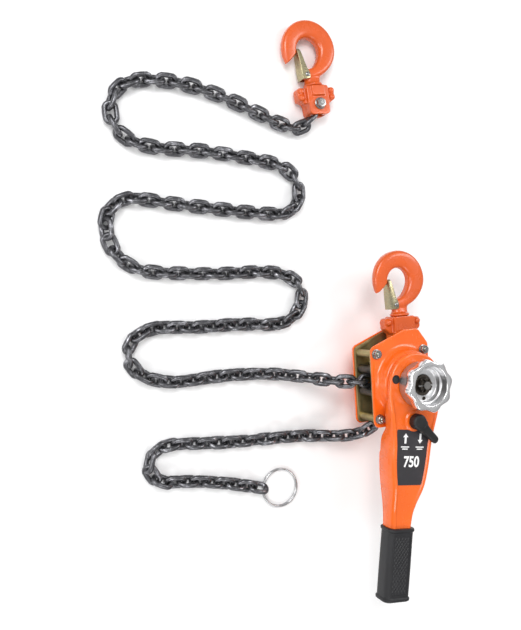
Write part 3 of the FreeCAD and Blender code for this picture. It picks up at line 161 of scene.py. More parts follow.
class Wire:
    """A socket in a node tree; arithmetic on it adds Math nodes."""

    def __init__(self, tree, socket):
        self.tree = tree
        self.socket = socket

    __add__, __radd__ = operator("ADD"), operator("ADD", True)
    __sub__, __rsub__ = operator("SUBTRACT"), operator("SUBTRACT", True)
    __mul__, __rmul__ = operator("MULTIPLY"), operator("MULTIPLY", True)
    __truediv__, __mod__ = operator("DIVIDE"), operator("FLOORED_MODULO")
    __gt__, __lt__ = operator("GREATER_THAN"), operator("LESS_THAN")
    least, most = operator("MINIMUM"), operator("MAXIMUM")
    absolute = operator("ABSOLUTE")


class Tree:
    """A node tree that is written as expressions."""

    def __init__(self, tree):
        self.tree = tree

    def node(self, kind, settings=None, values=None, out=0):
        made = self.tree.nodes.new(kind)
        for name, setting in (settings or {}).items():
            setattr(made, name, setting)
        for name, value in (values or {}).items():
            if isinstance(value, Wire):
                self.tree.links.new(value.socket, made.inputs[name])
            else:
                made.inputs[name].default_value = value
        return Wire(self, made.outputs[out]) if len(made.outputs) else made

    def parts(self, vector):
        split = self.node("ShaderNodeSeparateXYZ", None, {0: vector}).socket.node
        return [Wire(self, socket) for socket in split.outputs]

    def joined(self, x, y, z):
        return self.node("ShaderNodeCombineXYZ", None, {0: x, 1: y, 2: z})

    def merged(self, kind, parts, socket=0, settings=None):
        """A node that takes every part in at one socket."""
        made = self.node(kind, settings)
        for part in parts:
            self.tree.links.new(part.socket, made.socket.node.inputs[socket])
        return made

    def clamped(self, value):
        return self.node("ShaderNodeClamp", None, {"Value": value})

    def lifted(self, geometry, height):
        return self.node("GeometryNodeTransform", None,
                         {"Geometry": geometry, "Translation": self.joined(0.0, 0.0, height)})


class Finish(Tree):
    """A surface finish as a material."""

    def __init__(self, name):
        self.material = bpy.data.materials.new(name)
        self.material.use_nodes = True
        super().__init__(self.material.node_tree)
        self.tree.nodes.clear()
        self.place = self.node("ShaderNodeTexCoord", out="Object")

    def noise(self, scale, detail=3.0, roughness=0.55, place=None):
        return self.node("ShaderNodeTexNoise", None, {
            "Vector": place or self.place, "Scale": scale, "Detail": detail,
            "Roughness": roughness}, "Fac")

    def cells(self, scale):
        return self.node("ShaderNodeTexVoronoi", None, {"Vector": self.place, "Scale": scale},
                         "Distance")

    def stretched(self, x, y, z):
        return self.node("ShaderNodeMapping", None, {"Vector": self.place, "Scale": (x, y, z)})

    def ease(self, value, low, high, first=0.0, last=1.0):
        """Runs softly from first to last while the value runs from low to high."""
        return self.node("ShaderNodeMapRange", {"interpolation_type": "SMOOTHSTEP"},
                         {0: value, 1: low, 2: high, 3: first, 4: last})

    def blend(self, factor, first, second):
        def rgba(c):
            return c if isinstance(c, Wire) else (*c, 1.0)
        return self.node("ShaderNodeMix", {"data_type": "RGBA"},
                         {0: factor, 6: rgba(first), 7: rgba(second)}, 2)

    def bump(self, height, distance, strength=1.0):
        return self.node("ShaderNodeBump", None,
                         {"Height": height, "Distance": distance, "Strength": strength})

    def close(self, **values):
        named = {name.replace("_", " "): value for name, value in values.items()}
        shader = self.node("ShaderNodeBsdfPrincipled", None, named)
        self.node("ShaderNodeOutputMaterial", None, {"Surface": shader})
        return self.material


def scaled(tint, factor):
    return tuple(min(1.0, c * factor) for c in tint)


def enamel(name, tint, gloss):
    """Stoved enamel: slight orange peel, soft clouds and a few dull scuffs."""
    f = Finish(name)
    clouds = f.ease(f.noise(24.0, 4.0), 0.35, 0.66)
    specks = f.ease(f.noise(520.0, 2.0), 0.72, 0.80)
    scuffs = f.ease(f.noise(0.9, 6.0, 0.7, f.stretched(190.0, 60.0, 90.0)), 0.63, 0.72)
    tone = f.blend(clouds, scaled(tint, 0.93), scaled(tint, 1.04))
    tone = f.blend(specks * 0.35, tone, scaled(tint, 0.55))
    tone = f.blend(scuffs * 0.22, tone, (0.95, 0.40, 0.20))
    peel = f.noise(430.0, 2.0, 0.4) + f.noise(1500.0, 1.0) * 0.25
    rough = f.ease(f.noise(45.0, 5.0), 0.3, 0.7, gloss - 0.05, gloss + 0.08)
    return f.close(Base_Color=tone, Roughness=rough + scuffs * 0.2,
                   Coat_Weight=0.28 - scuffs * 0.2, Coat_Roughness=0.12,
                   Normal=f.bump(peel, 0.00005, 0.4))


def plating(name, tint, shade, rough, cloud=40.0):
    """Zinc plate: a metal with clouded passivation and fine drawing lines."""
    f = Finish(name)
    clouds = f.ease(f.noise(cloud, 5.0, 0.6), 0.32, 0.68)
    stains = f.ease(f.noise(cloud * 4.5, 4.0, 0.7), 0.58, 0.75)
    lines = f.noise(1.0, 3.0, 0.6, f.stretched(120.0, 900.0, 500.0))
    tone = f.blend(clouds, tint, shade)
    tone = f.blend(stains * 0.5, tone, scaled(shade, 0.6))
    return f.close(Base_Color=tone, Metallic=0.92 - stains * 0.2,
                   Roughness=f.ease(lines, 0.3, 0.7, rough - 0.07, rough + 0.09) + stains * 0.12,
                   Normal=f.bump(lines + clouds * 0.4, 0.00006, 0.6))


def oxide(name, tint):
    """Hardened chain steel: dark oxide, bright patches that are partly worn bare steel and partly painted
    highlight, with a fine scale.
    """
    f = Finish(name)
    # Bright patches: partly worn bare steel, partly painted highlight standing in for glints on the links.
    rubbed_and_highlight = f.ease(f.noise(95.0, 5.0, 0.62), 0.50, 0.72)
    soot = f.ease(f.noise(210.0, 4.0, 0.6), 0.52, 0.68)
    scale = f.noise(1300.0, 3.0, 0.6)
    tone = f.blend(rubbed_and_highlight, tint, scaled(tint, 3.2))
    tone = f.blend(soot * 0.65, tone, scaled(tint, 0.34))
    return f.close(Base_Color=tone, Metallic=0.95 - soot * 0.25,
                   Roughness=f.ease(scale, 0.3, 0.7, 0.24, 0.38) + soot * 0.14,
                   Normal=f.bump(scale + f.noise(330.0, 2.0) * 1.3, 0.00012, 0.6))


def polished(name, tint, rough):
    """Bright plate with faint polishing lines and finger marks."""
    f = Finish(name)
    lines = f.noise(1.0, 4.0, 0.6, f.stretched(260.0, 260.0, 1800.0))
    marks = f.ease(f.noise(70.0, 4.0), 0.52, 0.74)
    tone = f.blend(marks * 0.5, tint, scaled(tint, 0.86))
    return f.close(Base_Color=tone, Metallic=1.0, Roughness=rough + lines * 0.05 + marks * 0.06,
                   Normal=f.bump(lines, 0.000004, 0.2))


def moulded(name, tint, rough, grain=900.0):
    """Rubber or plastic with a moulded grain and slight bloom."""
    f = Finish(name)
    fine = f.noise(grain, 3.0, 0.6)
    bloom = f.ease(f.noise(42.0, 5.0), 0.45, 0.75)
    tone = f.blend(bloom * 0.6, tint, scaled(tint, 1.9))
    return f.close(Base_Color=tone, Roughness=rough + bloom * 0.1 + fine * 0.08,
                   Normal=f.bump(fine, 0.00012, 0.5))


def lining(name, tint):
    """Pressed friction lining with brass chips."""
    f = Finish(name)
    chips = f.ease(f.cells(900.0), 0.18, 0.10)
    tone = f.blend(f.ease(f.noise(300.0), 0.4, 0.6), tint, scaled(tint, 0.6))
    tone = f.blend(chips * 0.5, tone, (0.5, 0.36, 0.14))
    return f.close(Base_Color=tone, Roughness=0.8 - chips * 0.3, Metallic=chips * 0.6,
                   Normal=f.bump(f.noise(1100.0, 3.0), 0.0002, 0.6))


def floor_finish():
    """A pale matt studio floor."""
    f = Finish("studio_floor")
    haze = f.ease(f.noise(1.3, 3.0), 0.35, 0.65)
    tone = f.blend(haze, (0.94, 0.94, 0.945), (0.96, 0.96, 0.96))
    return f.close(Base_Color=tone, Roughness=0.75)


FINISHES = {}


def make_finishes(colours):
    c = {name: tuple(getattr(colours, name)) for name in WinchColours.__annotations__}
    rows = {
        "orange_paint": (enamel, c["orange"], 0.24),
        "orange_forging": (enamel, c["forging"], 0.26),
        "yellow_zinc": (plating, c["passivate"], scaled(c["passivate"], 0.55), 0.42, 28.0),
        "bright_zinc": (plating, c["zinc"], scaled(c["zinc"], 0.8), 0.24, 50.0),
        "latch_zinc": (plating, c["latch"], (0.36, 0.33, 0.22), 0.30, 60.0),
        "chain_steel": (oxide, c["chain"]),
        "gear_steel": (plating, c["gear"], scaled(c["gear"], 0.6), 0.36, 90.0),
        "brake_lining": (lining, (0.10, 0.075, 0.055)),
        "wheel_chrome": (polished, c["chrome"], 0.19),
        # The skirt's darker, duller chrome is painted shade: the wheel's lower side stands in shadow under its
        # rim.
        "skirt_satin": (polished, scaled(c["chrome"], 0.62), 0.42),
        "wheel_satin": (polished, scaled(c["chrome"], 0.86), 0.30),
        "bush_bronze": (plating, (0.50, 0.33, 0.13), (0.33, 0.21, 0.09), 0.4, 90.0),
        "grip_rubber": (moulded, c["rubber"], 0.46),
        "knob_plastic": (moulded, c["plastic"], 0.44, 1500.0),
        "label_film": (moulded, c["film"], 0.34, 260.0),
        "ring_steel": (polished, scaled(c["chrome"], 0.62), 0.20),
        "label_print": (moulded, c["print"], 0.45, 300.0),
        "hub_steel": (plating, (0.10, 0.085, 0.07), (0.045, 0.04, 0.035), 0.34, 200.0),
    }
    FINISHES.update({name: kind(name, *values) for name, (kind, *values) in rows.items()})


# ---------------------------------------------------------------- meshes

WELD, SLIVER = 2e-6, 1e-7
TIP_RADIUS = 0.001


def moved(x, y, z):
    """A shift that is given in millimetres."""
    return Matrix.Translation(Vector((x, y, z)) * MM)


def linked(name, data):
    """A new object in the scene."""
    made = bpy.data.objects.new(name, data)
    bpy.context.scene.collection.objects.link(made)
    return made


def round_angles(steps):
    """Even angles once round a circle."""
    return [2 * math.pi * k / steps for k in range(steps)]


def smooth(low, high, value):
    """0 below low, 1 above high, and a soft rise between them."""
    t = min(max((value - low) / (high - low), 0.0), 1.0)
    return t * t * (3.0 - 2.0 * t)


def mix(first, second, t):
    return first + (second - first) * t


def follow(stops, at):
    """The value at a place along (place, value) stops, on a smooth line through them."""
    if at <= stops[0][0]:
        return stops[0][1]
    if at >= stops[-1][0]:
        return stops[-1][1]
    k = next(i for i in range(len(stops) - 1) if at <= stops[i + 1][0])
    (x0, y0), (x1, y1) = stops[k], stops[k + 1]

    def slope(i):
        if i in (0, len(stops) - 1):
            j = min(i, len(stops) - 2)
            return (stops[j + 1][1] - stops[j][1]) / (stops[j + 1][0] - stops[j][0])
        return (stops[i + 1][1] - stops[i - 1][1]) / (stops[i + 1][0] - stops[i - 1][0])
    span = x1 - x0
    t = (at - x0) / span
    return ((2 * t ** 3 - 3 * t ** 2 + 1) * y0 + (t ** 3 - 2 * t ** 2 + t) * span * slope(k)
            + (3 * t ** 2 - 2 * t ** 3) * y1 + (t ** 3 - t ** 2) * span * slope(k + 1))


def plain_mesh(form, name):
    """A new mesh with the form's points and faces and nothing else."""
    form.verts.index_update()
    points = [v.co.copy() for v in form.verts]
    faces = [[v.index for v in f.verts] for f in form.faces]
    form.free()
    mesh = bpy.data.meshes.new(name)
    mesh.from_pydata(points, [], faces)
    return mesh


def skin(name, rings, place=None, closed=True, caps=True, wrap=False):
    """A mesh through rings of points; wrap joins the last ring to the first."""
    place = place or Matrix()
    form = bmesh.new()
    rows = [[form.verts.new(place @ (Vector(p) * MM)) for p in ring] for ring in rings]
    count = len(rows[0])
    pairs = list(zip(rows, rows[1:] + rows[:1])) if wrap else list(zip(rows, rows[1:]))
    for low, high in pairs:
        for k in range(count if closed else count - 1):
            n = (k + 1) % count
            form.faces.new((low[k], low[n], high[n], high[k]))
    if caps and not wrap:
        form.faces.new(rows[0][::-1])
        form.faces.new(rows[-1])
    bmesh.ops.remove_doubles(form, verts=form.verts, dist=WELD)
    bmesh.ops.dissolve_degenerate(form, edges=form.edges, dist=SLIVER)
    bmesh.ops.recalc_face_normals(form, faces=form.faces)
    return plain_mesh(form, name)


def lathe(name, profile, place=None, steps=64, wrap=False):
    """A turned form about its own Z: the profile is (radius, height) corners."""
    rings = []
    for radius, height in profile:
        r = max(radius, TIP_RADIUS)
        rings.append([(r * math.cos(a), r * math.sin(a), height) for a in round_angles(steps)])
    return skin(name, rings, place, wrap=wrap)


def gathered(name, meshes):
    """Several meshes as one."""
    form = bmesh.new()
    for mesh in meshes:
        form.from_mesh(mesh)
    return plain_mesh(form, name)


def evaluated(carrier):
    """The carrier's mesh with its modifiers worked in; the carrier goes."""
    graph = bpy.context.evaluated_depsgraph_get()
    mesh = bpy.data.meshes.new_from_object(carrier.evaluated_get(graph), depsgraph=graph)
    bpy.data.objects.remove(carrier)
    return mesh


def worked(mesh, *steps):
    """The mesh after the given modifiers, each (kind, settings)."""
    carrier = linked("carrier", mesh)
    for kind, settings in steps:
        step = carrier.modifiers.new(kind.lower(), kind)
        for name, value in settings.items():
            setattr(step, name, value)
    return evaluated(carrier)


def rounding(width, degrees):
    """A bevel on the edges that are sharper than an angle."""
    return "BEVEL", {"width": width, "segments": 2, "limit_method": "ANGLE",
                     "angle_limit": math.radians(degrees)}


def forged(name, parts, grid, passes, cutters=()):
    """Overlapping parts blended into one forging with soft inner corners, then cut."""
    steps = [("REMESH", {"mode": "VOXEL", "voxel_size": grid, "use_smooth_shade": True}),
             ("SMOOTH", {"factor": 0.5, "iterations": passes})]
    mesh = worked(gathered(name, parts), *steps)
    for cutter in cutters:
        tool = linked("tool", cutter)
        mesh = worked(mesh, ("BOOLEAN", {"operation": "DIFFERENCE", "solver": "EXACT",
                                         "object": tool}))
        bpy.data.objects.remove(tool)
    return mesh


def softened(node, width):
    """A copy of a CAD node's form with its edges rounded."""
    form = bmesh.new()
    form.from_mesh(frame["nodes"][node].data)
    bmesh.ops.remove_doubles(form, verts=form.verts, dist=1e-6)
    bmesh.ops.dissolve_limit(form, angle_limit=math.radians(1.0), verts=form.verts,
                             edges=form.edges)
    return worked(plain_mesh(form, node), rounding(width, 30.0))


def oblong(low, high, corner, points, grow=0.0):
    """A rounded oblong between two opposite corners; grow widens the arcs at its corners."""
    (x0, y0), (x1, y1) = low, high
    line = []
    for x, y, start in ((x1 - corner, y1 - corner, 0), (x0 + corner, y1 - corner, 90),
                        (x0 + corner, y0 + corner, 180), (x1 - corner, y0 + corner, 270)):
        for k in range(points):
            a = math.radians(start + 90 * k / (points - 1))
            line.append((x + (corner + grow) * math.cos(a), y + (corner + grow) * math.sin(a)))
    return line


def raised(line, levels, place):
    """A closed outline drawn up through the levels."""
    return skin("raised", [[(x, y, z) for x, y in line] for z in levels], place)


def brick(low, high, corner, place):
    """A block with rounded upright corners, between two opposite corners in millimetres."""
    return raised(oblong(low[:2], high[:2], corner, 4), (low[2], high[2]), place)


def piece(name, mesh, finish, body, stands_for=(), sharp=38.0):
    """A finished piece that rides on a body and stands for CAD nodes."""
    made = linked(name, mesh)
    mesh.name = name
    mesh.materials.clear()
    mesh.materials.append(FINISHES[finish])
    mesh.shade_smooth()
    mesh.set_sharp_from_angle(angle=math.radians(sharp))
    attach(made, body)
    if stands_for:
        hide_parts(*stands_for)
    return made


def slot_of_node(node):
    return next(row for row in frame["record"]["subparts"] if row["node"] == node)["material_slot"]


def softened_piece(node, width, finish, body):
    """A CAD node's own form with its edges rounded, as a finished piece."""
    piece(node + "_finished", softened(node, width), finish, body, [node])


def pivot(joint):
    """A joint's place, in metres."""
    return Vector(next(j for j in frame["joints"] if j["name"] == joint)["pos_m"])


class Recipe(Tree):
    """A Geometry Nodes tree with named sizes, ending in real, finished geometry."""

    def __init__(self, name, sizes):
        super().__init__(bpy.data.node_groups.new(name, "GeometryNodeTree"))
        face = self.tree.interface
        face.new_socket("Geometry", in_out="INPUT", socket_type="NodeSocketGeometry")
        for label, value in sizes.items():
            kind = "NodeSocketInt" if isinstance(value, int) else "NodeSocketFloat"
            face.new_socket(label, in_out="INPUT", socket_type=kind).default_value = value
        face.new_socket("Geometry", in_out="OUTPUT", socket_type="NodeSocketGeometry")
        self.entry = self.tree.nodes.new("NodeGroupInput")

    def size(self, label):
        return Wire(self, self.entry.outputs[label])

    def end(self, geometry, material):
        real = self.node("GeometryNodeRealizeInstances", None, {"Geometry": geometry})
        shaded = self.node("GeometryNodeSetShadeSmooth", None, {"Geometry": real})
        done = self.node("GeometryNodeSetMaterial", None,
                         {"Geometry": shaded, "Material": material})
        self.node("NodeGroupOutput", None, {"Geometry": done})

    def twisted(self, facing, axis, amount):
        """A rotation that is turned further about one of its own axes."""
        twist = self.node("FunctionNodeAxisAngleToRotation", None, {"Axis": axis, "Angle": amount})
        return self.node("FunctionNodeRotateRotation", {"rotation_space": "LOCAL"},
                         {"Rotation": facing, "Rotate By": twist})

    def grown(self, mesh, sizes):
        """The plain mesh that the recipe makes from the given one."""
        carrier = linked("carrier", mesh)
        step = carrier.modifiers.new("recipe", "NODES")
        step.node_group = self.tree
        for item in self.tree.interface.items_tree:
            if item.in_out == "INPUT" and item.name in sizes:
                step[item.identifier] = sizes[item.name]
        return evaluated(carrier)


# ---------------------------------------------------------------- chains

def link_form(r):
    """One welded link along X, flat in XY."""
    bend = (r.size("Width") - r.size("Wire")) / 2
    half = (r.size("Pitch") + r.size("Wire")) / 2 - bend
    ring = r.node("GeometryNodeCurvePrimitiveCircle", {"mode": "RADIUS"},
                  {"Resolution": 20, "Radius": bend})
    x = r.parts(r.node("GeometryNodeInputPosition"))[0]
    side = (x > 1e-5) - (x < -1e-5)
    oval = r.node("GeometryNodeSetPosition", None,
                  {"Geometry": ring, "Offset": r.joined(side * half, 0.0, 0.0)})
    wire = r.node("GeometryNodeCurvePrimitiveCircle", {"mode": "RADIUS"},
                  {"Resolution": 9, "Radius": r.size("Wire") / 2})
    return r.node("GeometryNodeCurveToMesh", None, {"Curve": oval, "Profile Curve": wire})


def chain_recipe():
    """Links along a line, each a quarter turn from the last; on the floor they lean both ways."""
    r = Recipe("chain_links", {"Wire": 0.006, "Pitch": 0.018, "Width": 0.0204, "Count": 10,
                               "Start": 0.0, "Length": 1.0, "Upright start": 0.0,
                               "Upright end": 0.0, "Lean": 0.5, "Lift": 0.0, "Play": 0.1,
                               "Kink": -9, "Seed": 3})
    line = r.node("GeometryNodeMeshToCurve", None, {"Mesh": r.size("Geometry")})
    line = r.node("GeometryNodeTrimCurve", {"mode": "LENGTH"},
                  {0: line, 4: r.size("Start"), 5: r.size("Start") + r.size("Length")})
    line = r.node("GeometryNodeResampleCurve", {"mode": "COUNT"},
                  {"Curve": line, "Count": r.size("Count")})
    line = r.node("GeometryNodeSetCurveNormal", {"mode": "Z_UP"}, {"Curve": line})
    index = r.node("GeometryNodeInputIndex")
    odd = index % 2.0
    kinked = (index - r.size("Kink")).absolute() < 0.5
    along = r.node("GeometryNodeSplineParameter", out="Length")
    left = r.size("Length") - along
    from_start = 1.0 - r.clamped(along / (r.size("Upright start") + 1e-6))
    from_end = 1.0 - r.clamped(left / (r.size("Upright end") + 1e-6))
    upright = from_start.most(from_end)
    shake = r.node("FunctionNodeRandomValue", {"data_type": "FLOAT"},
                   {2: r.size("Play") * -1.0, 3: r.size("Play"), 8: r.size("Seed")}, 1)
    loose = 1.0 - upright
    run = r.parts(r.node("GeometryNodeInputTangent"))[0] * 1.6
    side = run.least(1.0).most(-1.0)
    roll = odd * (math.pi / 2) + loose * (shake + r.size("Lean") * side) + kinked * 0.8
    shift = r.joined(0.0, kinked * 0.003, loose * r.size("Lift") + kinked * 0.002)
    facing = r.node("FunctionNodeAxesToRotation", {"primary_axis": "X", "secondary_axis": "Y"}, {
        "Primary Axis": r.node("GeometryNodeInputTangent"),
        "Secondary Axis": r.node("GeometryNodeInputNormal")})
    facing = r.twisted(facing, (1.0, 0.0, 0.0), roll)
    spots = r.node("GeometryNodeSetPosition", None, {"Geometry": line, "Offset": shift})
    links = r.node("GeometryNodeInstanceOnPoints", None,
                   {"Points": spots, "Instance": link_form(r), "Rotation": facing})
    r.end(links, FINISHES["chain_steel"])
    return r


def chain_line(name, route):
    """A mesh line along the route's smooth curve, and its points."""
    curve = bpy.data.curves.new(name, "CURVE")
    curve.dimensions = "3D"
    curve.resolution_u = 10
    spline = curve.splines.new("NURBS")
    spline.points.add(len(route) - 1)
    for point, place in zip(spline.points, route):
        x, y, z = (*place, CHAIN_LIE)[:3]
        point.co = (x * MM, y * MM, z * MM, 1.0)
    spline.order_u = 3
    spline.use_endpoint_u = True
    mesh = evaluated(linked(name, curve))
    points = [v.co.copy() for v in mesh.vertices]
    return mesh, points, sum((b - a).length for a, b in zip(points, points[1:]))


CHAIN_START = 0.005
UPRIGHT_START = 0.09


def run_chain(name, route, recipe, sizes, end, upright_end, kink, seed):
    """A chain's links up to short of the line's end, an even count at the chain's pitch."""
    line, points, total = chain_line(name + "_line", route)
    usable = total - CHAIN_START - end
    count = 2 * round((usable / sizes.step + 1) / 2)
    mesh = recipe.grown(line, {
        "Wire": sizes.wire, "Pitch": sizes.pitch, "Width": sizes.width, "Count": count,
        "Start": CHAIN_START, "Length": usable, "Upright start": UPRIGHT_START,
        "Upright end": upright_end, "Lean": sizes.lean, "Lift": sizes.lift, "Play": sizes.play,
        "Kink": round(kink * count), "Seed": seed})
    made = piece(name, mesh, "chain_steel", "frame", sharp=60.0)
    print(name, "line %.3f" % total, "links", count, "step %.2f mm" % (usable / (count - 1) / MM))
    return made, points


class WINCH_OT_chains(bpy.types.Operator):
    """Lay the load chain and the tail chain"""
    bl_idname = "winch.chains"
    bl_label = "Chains"

    def execute(self, context):
        sizes = context.scene.winch_chain
        recipe = chain_recipe()
        load, load_points = run_chain("load_chain_links", LOAD_ROUTE, recipe, sizes, 0.005, 0.035,
                                      sizes.kink, 5)
        tail, tail_points = run_chain("tail_chain_links", TAIL_ROUTE, recipe, sizes, 0.0075, 0.0,
                                      -1.0, 11)
        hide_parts("load_chain")
        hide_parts("tail_chain")
        return {"FINISHED"}


# ---------------------------------------------------------------- frame and covers

PLATE_LEFT, PLATE_RIGHT, PLATE_FOOT, SHOULDER = -50.5, 37.5, -53.0, 48.0
ROOF_LEFT, ROOF_RIGHT, ROOF_TOP = 1.0, 24.0, 68.0
STAYS = [(-44.0, 41.0), (30.5, 41.0), (-44.0, -43.5), (30.5, -43.5)]
COVER_LOW, COVER_TOP, DRUM_RADIUS = 80.5, 82.5, 43.0
WASHER_TOP, WASHER_LOW = 83.7, 36.3
TUB_SIDE, TUB_RADIUS = 27.0, 24.5


def rounded_outline(points, radius, step=6.0):
    """An outline with arcs at its corners, split into points about a step apart."""
    corners = [Vector(p) for p in points]
    line = []
    for before, here, after in zip(corners[-1:] + corners[:-1], corners, corners[1:] + corners[:1]):
        way_in, way_out = (before - here).normalized(), (after - here).normalized()
        half = way_in.angle(way_out) / 2
        centre = here + (way_in + way_out).normalized() * (radius / math.sin(half))
        start = here + way_in * (radius / math.tan(half)) - centre
        sweep = math.pi - 2 * half
        for k in range(9):
            line.append(centre + Matrix.Rotation(sweep * k / 8, 2) @ start)
    full = []
    for a, b in zip(line, line[1:] + line[:1]):
        parts = max(1, round((b - a).length / step))
        full += [a.lerp(b, k / parts) for k in range(parts)]
    return full


def outward(line):
    """The outward direction at each point of a closed outline that runs anticlockwise."""
    result = []
    for before, after in zip(line[-1:] + line[:-1], line[1:] + line[:1]):
        along = (after - before).normalized()
        result.append(Vector((along.y, -along.x)))
    return result


def inset_ring(rim, out, inset, z):
    """An outline moved in from its rim, at one level."""
    return [(p.x - n.x * inset, p.y - n.y * inset, z) for p, n in zip(rim, out)]


def cover_outline():
    """The rim that both pressed covers share, 1.5 mm outside the side plates."""
    grow = 1.5
    left, right, foot = PLATE_LEFT - grow, PLATE_RIGHT + grow, PLATE_FOOT - grow
    shoulder, top = SHOULDER + grow, ROOF_TOP + grow
    return rounded_outline([(left, foot), (right, foot), (right, shoulder), (ROOF_RIGHT, top),
                            (ROOF_LEFT, top), (left, shoulder)], 8.0, 2.5)


def brake_cover_mesh():
    """The pressed brake cover: a flange with a rolled rim, and a drum that rises from it softly."""
    rim = cover_outline()
    out = outward(rim)
    flange = [(0.6, COVER_LOW), (0.0, COVER_LOW + 0.5), (0.0, COVER_TOP - 0.5),
              (0.25, COVER_TOP - 0.05), (0.9, COVER_TOP + 0.2), (2.2, COVER_TOP + 0.15),
              (3.6, COVER_TOP)]
    rise = [(52.0, 0.0), (49.5, 0.25), (47.3, 1.0), (45.6, 2.2), (44.4, 3.9), (43.6, 6.0),
            (43.0, 8.4), (42.6, 10.6), (41.8, 12.6), (40.4, 14.1), (38.4, 14.9), (35.5, 15.0),
            (28.0, 15.0), (26.2, 14.8), (25.2, 14.2), (25.0, 13.2), (25.0, 11.5)]
    rings = []
    edge = [max(p.length, DRUM_RADIUS + 2.4) for p in rim]
    for inset, z in flange:
        ring = []
        for p, n, reach in zip(rim, out, edge):
            q = p - n * inset
            if p.length < reach:
                q = p.normalized() * (reach - inset)
            ring.append((q.x, q.y, z))
        rings.append(ring)
    for k, (radius, height) in enumerate(rise):
        ring = []
        for p, reach in zip(rim, edge):
            r = min(radius, reach - 3.9 - 0.05 * k) if k < 5 else min(radius, reach - 1.2)
            x, y = p.normalized() * r
            near = min(math.hypot(x - sx, y - sy) for sx, sy in STAYS)
            seat = smooth(7.0, 10.0, near) if height < 8 else 1.0
            ring.append((x, y, COVER_TOP + height * seat))
        rings.append(ring)
    return skin("brake_cover_shell", rings, caps=False)


def gear_cover_mesh():
    """The pressed gear cover: its flange and the long tub around the reduction gears."""
    rim = cover_outline()
    out = outward(rim)
    flange = [(0.6, 39.5), (0.0, 39.0), (0.0, 38.0), (0.3, 37.5), (0.9, 37.3), (3.0, 37.5)]
    tub = [(-7.0, 37.5), (-4.0, 37.2), (-1.6, 36.0), (-0.4, 33.6), (0.0, 30.0), (0.0, 6.5),
           (0.6, 3.4), (2.2, 1.2), (4.6, 0.3), (7.5, 0.0)]
    rings = [inset_ring(rim, out, inset, z) for inset, z in flange]
    for inset, z in tub:
        rings.append([(*tub_spot(p, TUB_RADIUS - inset), z) for p in rim])
    return skin("gear_cover_shell", rings)


def tub_spot(p, radius):
    """Where the ray to a point crosses the tub's outline, two half circles and their flanks."""
    a = math.atan2(p.y, p.x)
    dx, dy = math.cos(a), math.sin(a)
    if abs(dx) * TUB_SIDE > radius * abs(dy) * 1e6:
        return Vector((radius, 0))
    if abs(dy / max(abs(dx), 1e-9)) <= TUB_SIDE / radius:
        return Vector((math.copysign(radius, dx), radius * dy / abs(dx)))
    ray = Vector((dx, dy))
    along = ray.dot(Vector((0, math.copysign(TUB_SIDE, dy))))
    return ray * (along + math.sqrt(max(along ** 2 - TUB_SIDE ** 2 + radius ** 2, 0.0)))


def nut_recipe():
    """Chamfered hexagon nuts with a bolt end, standing on each point along its normal."""
    r = Recipe("stay_nuts", {"Flats": 0.01, "Height": 0.005, "Bolt": 0.006, "Out": 0.0015,
                             "Turn": 0.2})
    height, flats = r.size("Height"), r.size("Flats")
    prism = r.node("GeometryNodeMeshCylinder", None,
                   {"Vertices": 6, "Radius": flats / math.sqrt(3), "Depth": height})
    prism = r.lifted(prism, height / 2)
    dish = r.node("GeometryNodeMeshCone", None, {
        "Vertices": 48, "Radius Top": flats * 0.47, "Radius Bottom": flats * 0.47 + height * 1.7,
        "Depth": height})
    nut = r.merged("GeometryNodeMeshBoolean", (prism, dish), "Mesh 2",
                   {"operation": "INTERSECT", "solver": "EXACT"})
    end = r.node("GeometryNodeMeshCylinder", None,
                 {"Vertices": 32, "Radius": r.size("Bolt") / 2, "Depth": r.size("Out")})
    end = r.lifted(end, height + r.size("Out") / 2)
    dome = r.node("GeometryNodeMeshCone", None, {
        "Vertices": 32, "Radius Top": r.size("Bolt") * 0.36, "Radius Bottom": r.size("Bolt") / 2,
        "Depth": 0.0005})
    dome = r.lifted(dome, height + r.size("Out"))
    whole = r.merged("GeometryNodeJoinGeometry", (nut, end, dome))
    facing = r.node("FunctionNodeAlignRotationToVector", {"axis": "Z"},
                    {"Vector": r.node("GeometryNodeInputNormal")})
    facing = r.twisted(facing, (0.0, 0.0, 1.0),
                       r.node("GeometryNodeInputIndex") * r.size("Turn"))
    set_out = r.node("GeometryNodeMeshToPoints", {"mode": "FACES"}, {"Mesh": r.size("Geometry")})
    nuts = r.node("GeometryNodeInstanceOnPoints", None,
                  {"Points": set_out, "Instance": whole, "Rotation": facing})
    r.end(nuts, FINISHES["bright_zinc"])
    return r


def seats_mesh(spots):
    """A small face at each seat, facing along it; a seat is (x, y, z, up or down)."""
    form = bmesh.new()
    reach = 0.1
    for x, y, z, up in spots:
        corners = [(1, 0), (-0.5, 0.8), (-0.5, -0.8)][::up]
        form.faces.new([form.verts.new(Vector((x + a * reach, y + b * reach, z)) * MM)
                        for a, b in corners])
    return plain_mesh(form, "seats")


class WINCH_OT_body(bpy.types.Operator):
    """Build the covers, side plates, nuts and washers"""
    bl_idname = "winch.body"
    bl_label = "Body"

    def execute(self, context):
        sizes = context.scene.winch_forms
        piece("brake_cover_shell", brake_cover_mesh(), "orange_paint", "frame", ["brake_cover"])
        piece("gear_cover_shell", gear_cover_mesh(), "orange_paint", "frame", ["gear_cover"])
        for side in ("gear", "brake"):
            node = side + "_side_plate"
            piece(side + "_plate_finished", softened(node, sizes.plate_bevel), "yellow_zinc",
                  "frame", [node])
        for node, width in (("stay_washers", 0.0003), ("chain_guide", 0.0005)):
            softened_piece(node, width, slot_of_node(node), "frame")
        spots = [(*stay, level, up) for level, up in ((WASHER_TOP, 1), (WASHER_LOW, -1))
                 for stay in STAYS]
        nuts = nut_recipe().grown(seats_mesh(spots), {})
        piece("stay_nuts_finished", nuts, "bright_zinc", "frame", ["stay_nuts"], sharp=30.0)
        return {"FINISHED"}


# ---------------------------------------------------------------- handwheel and hub

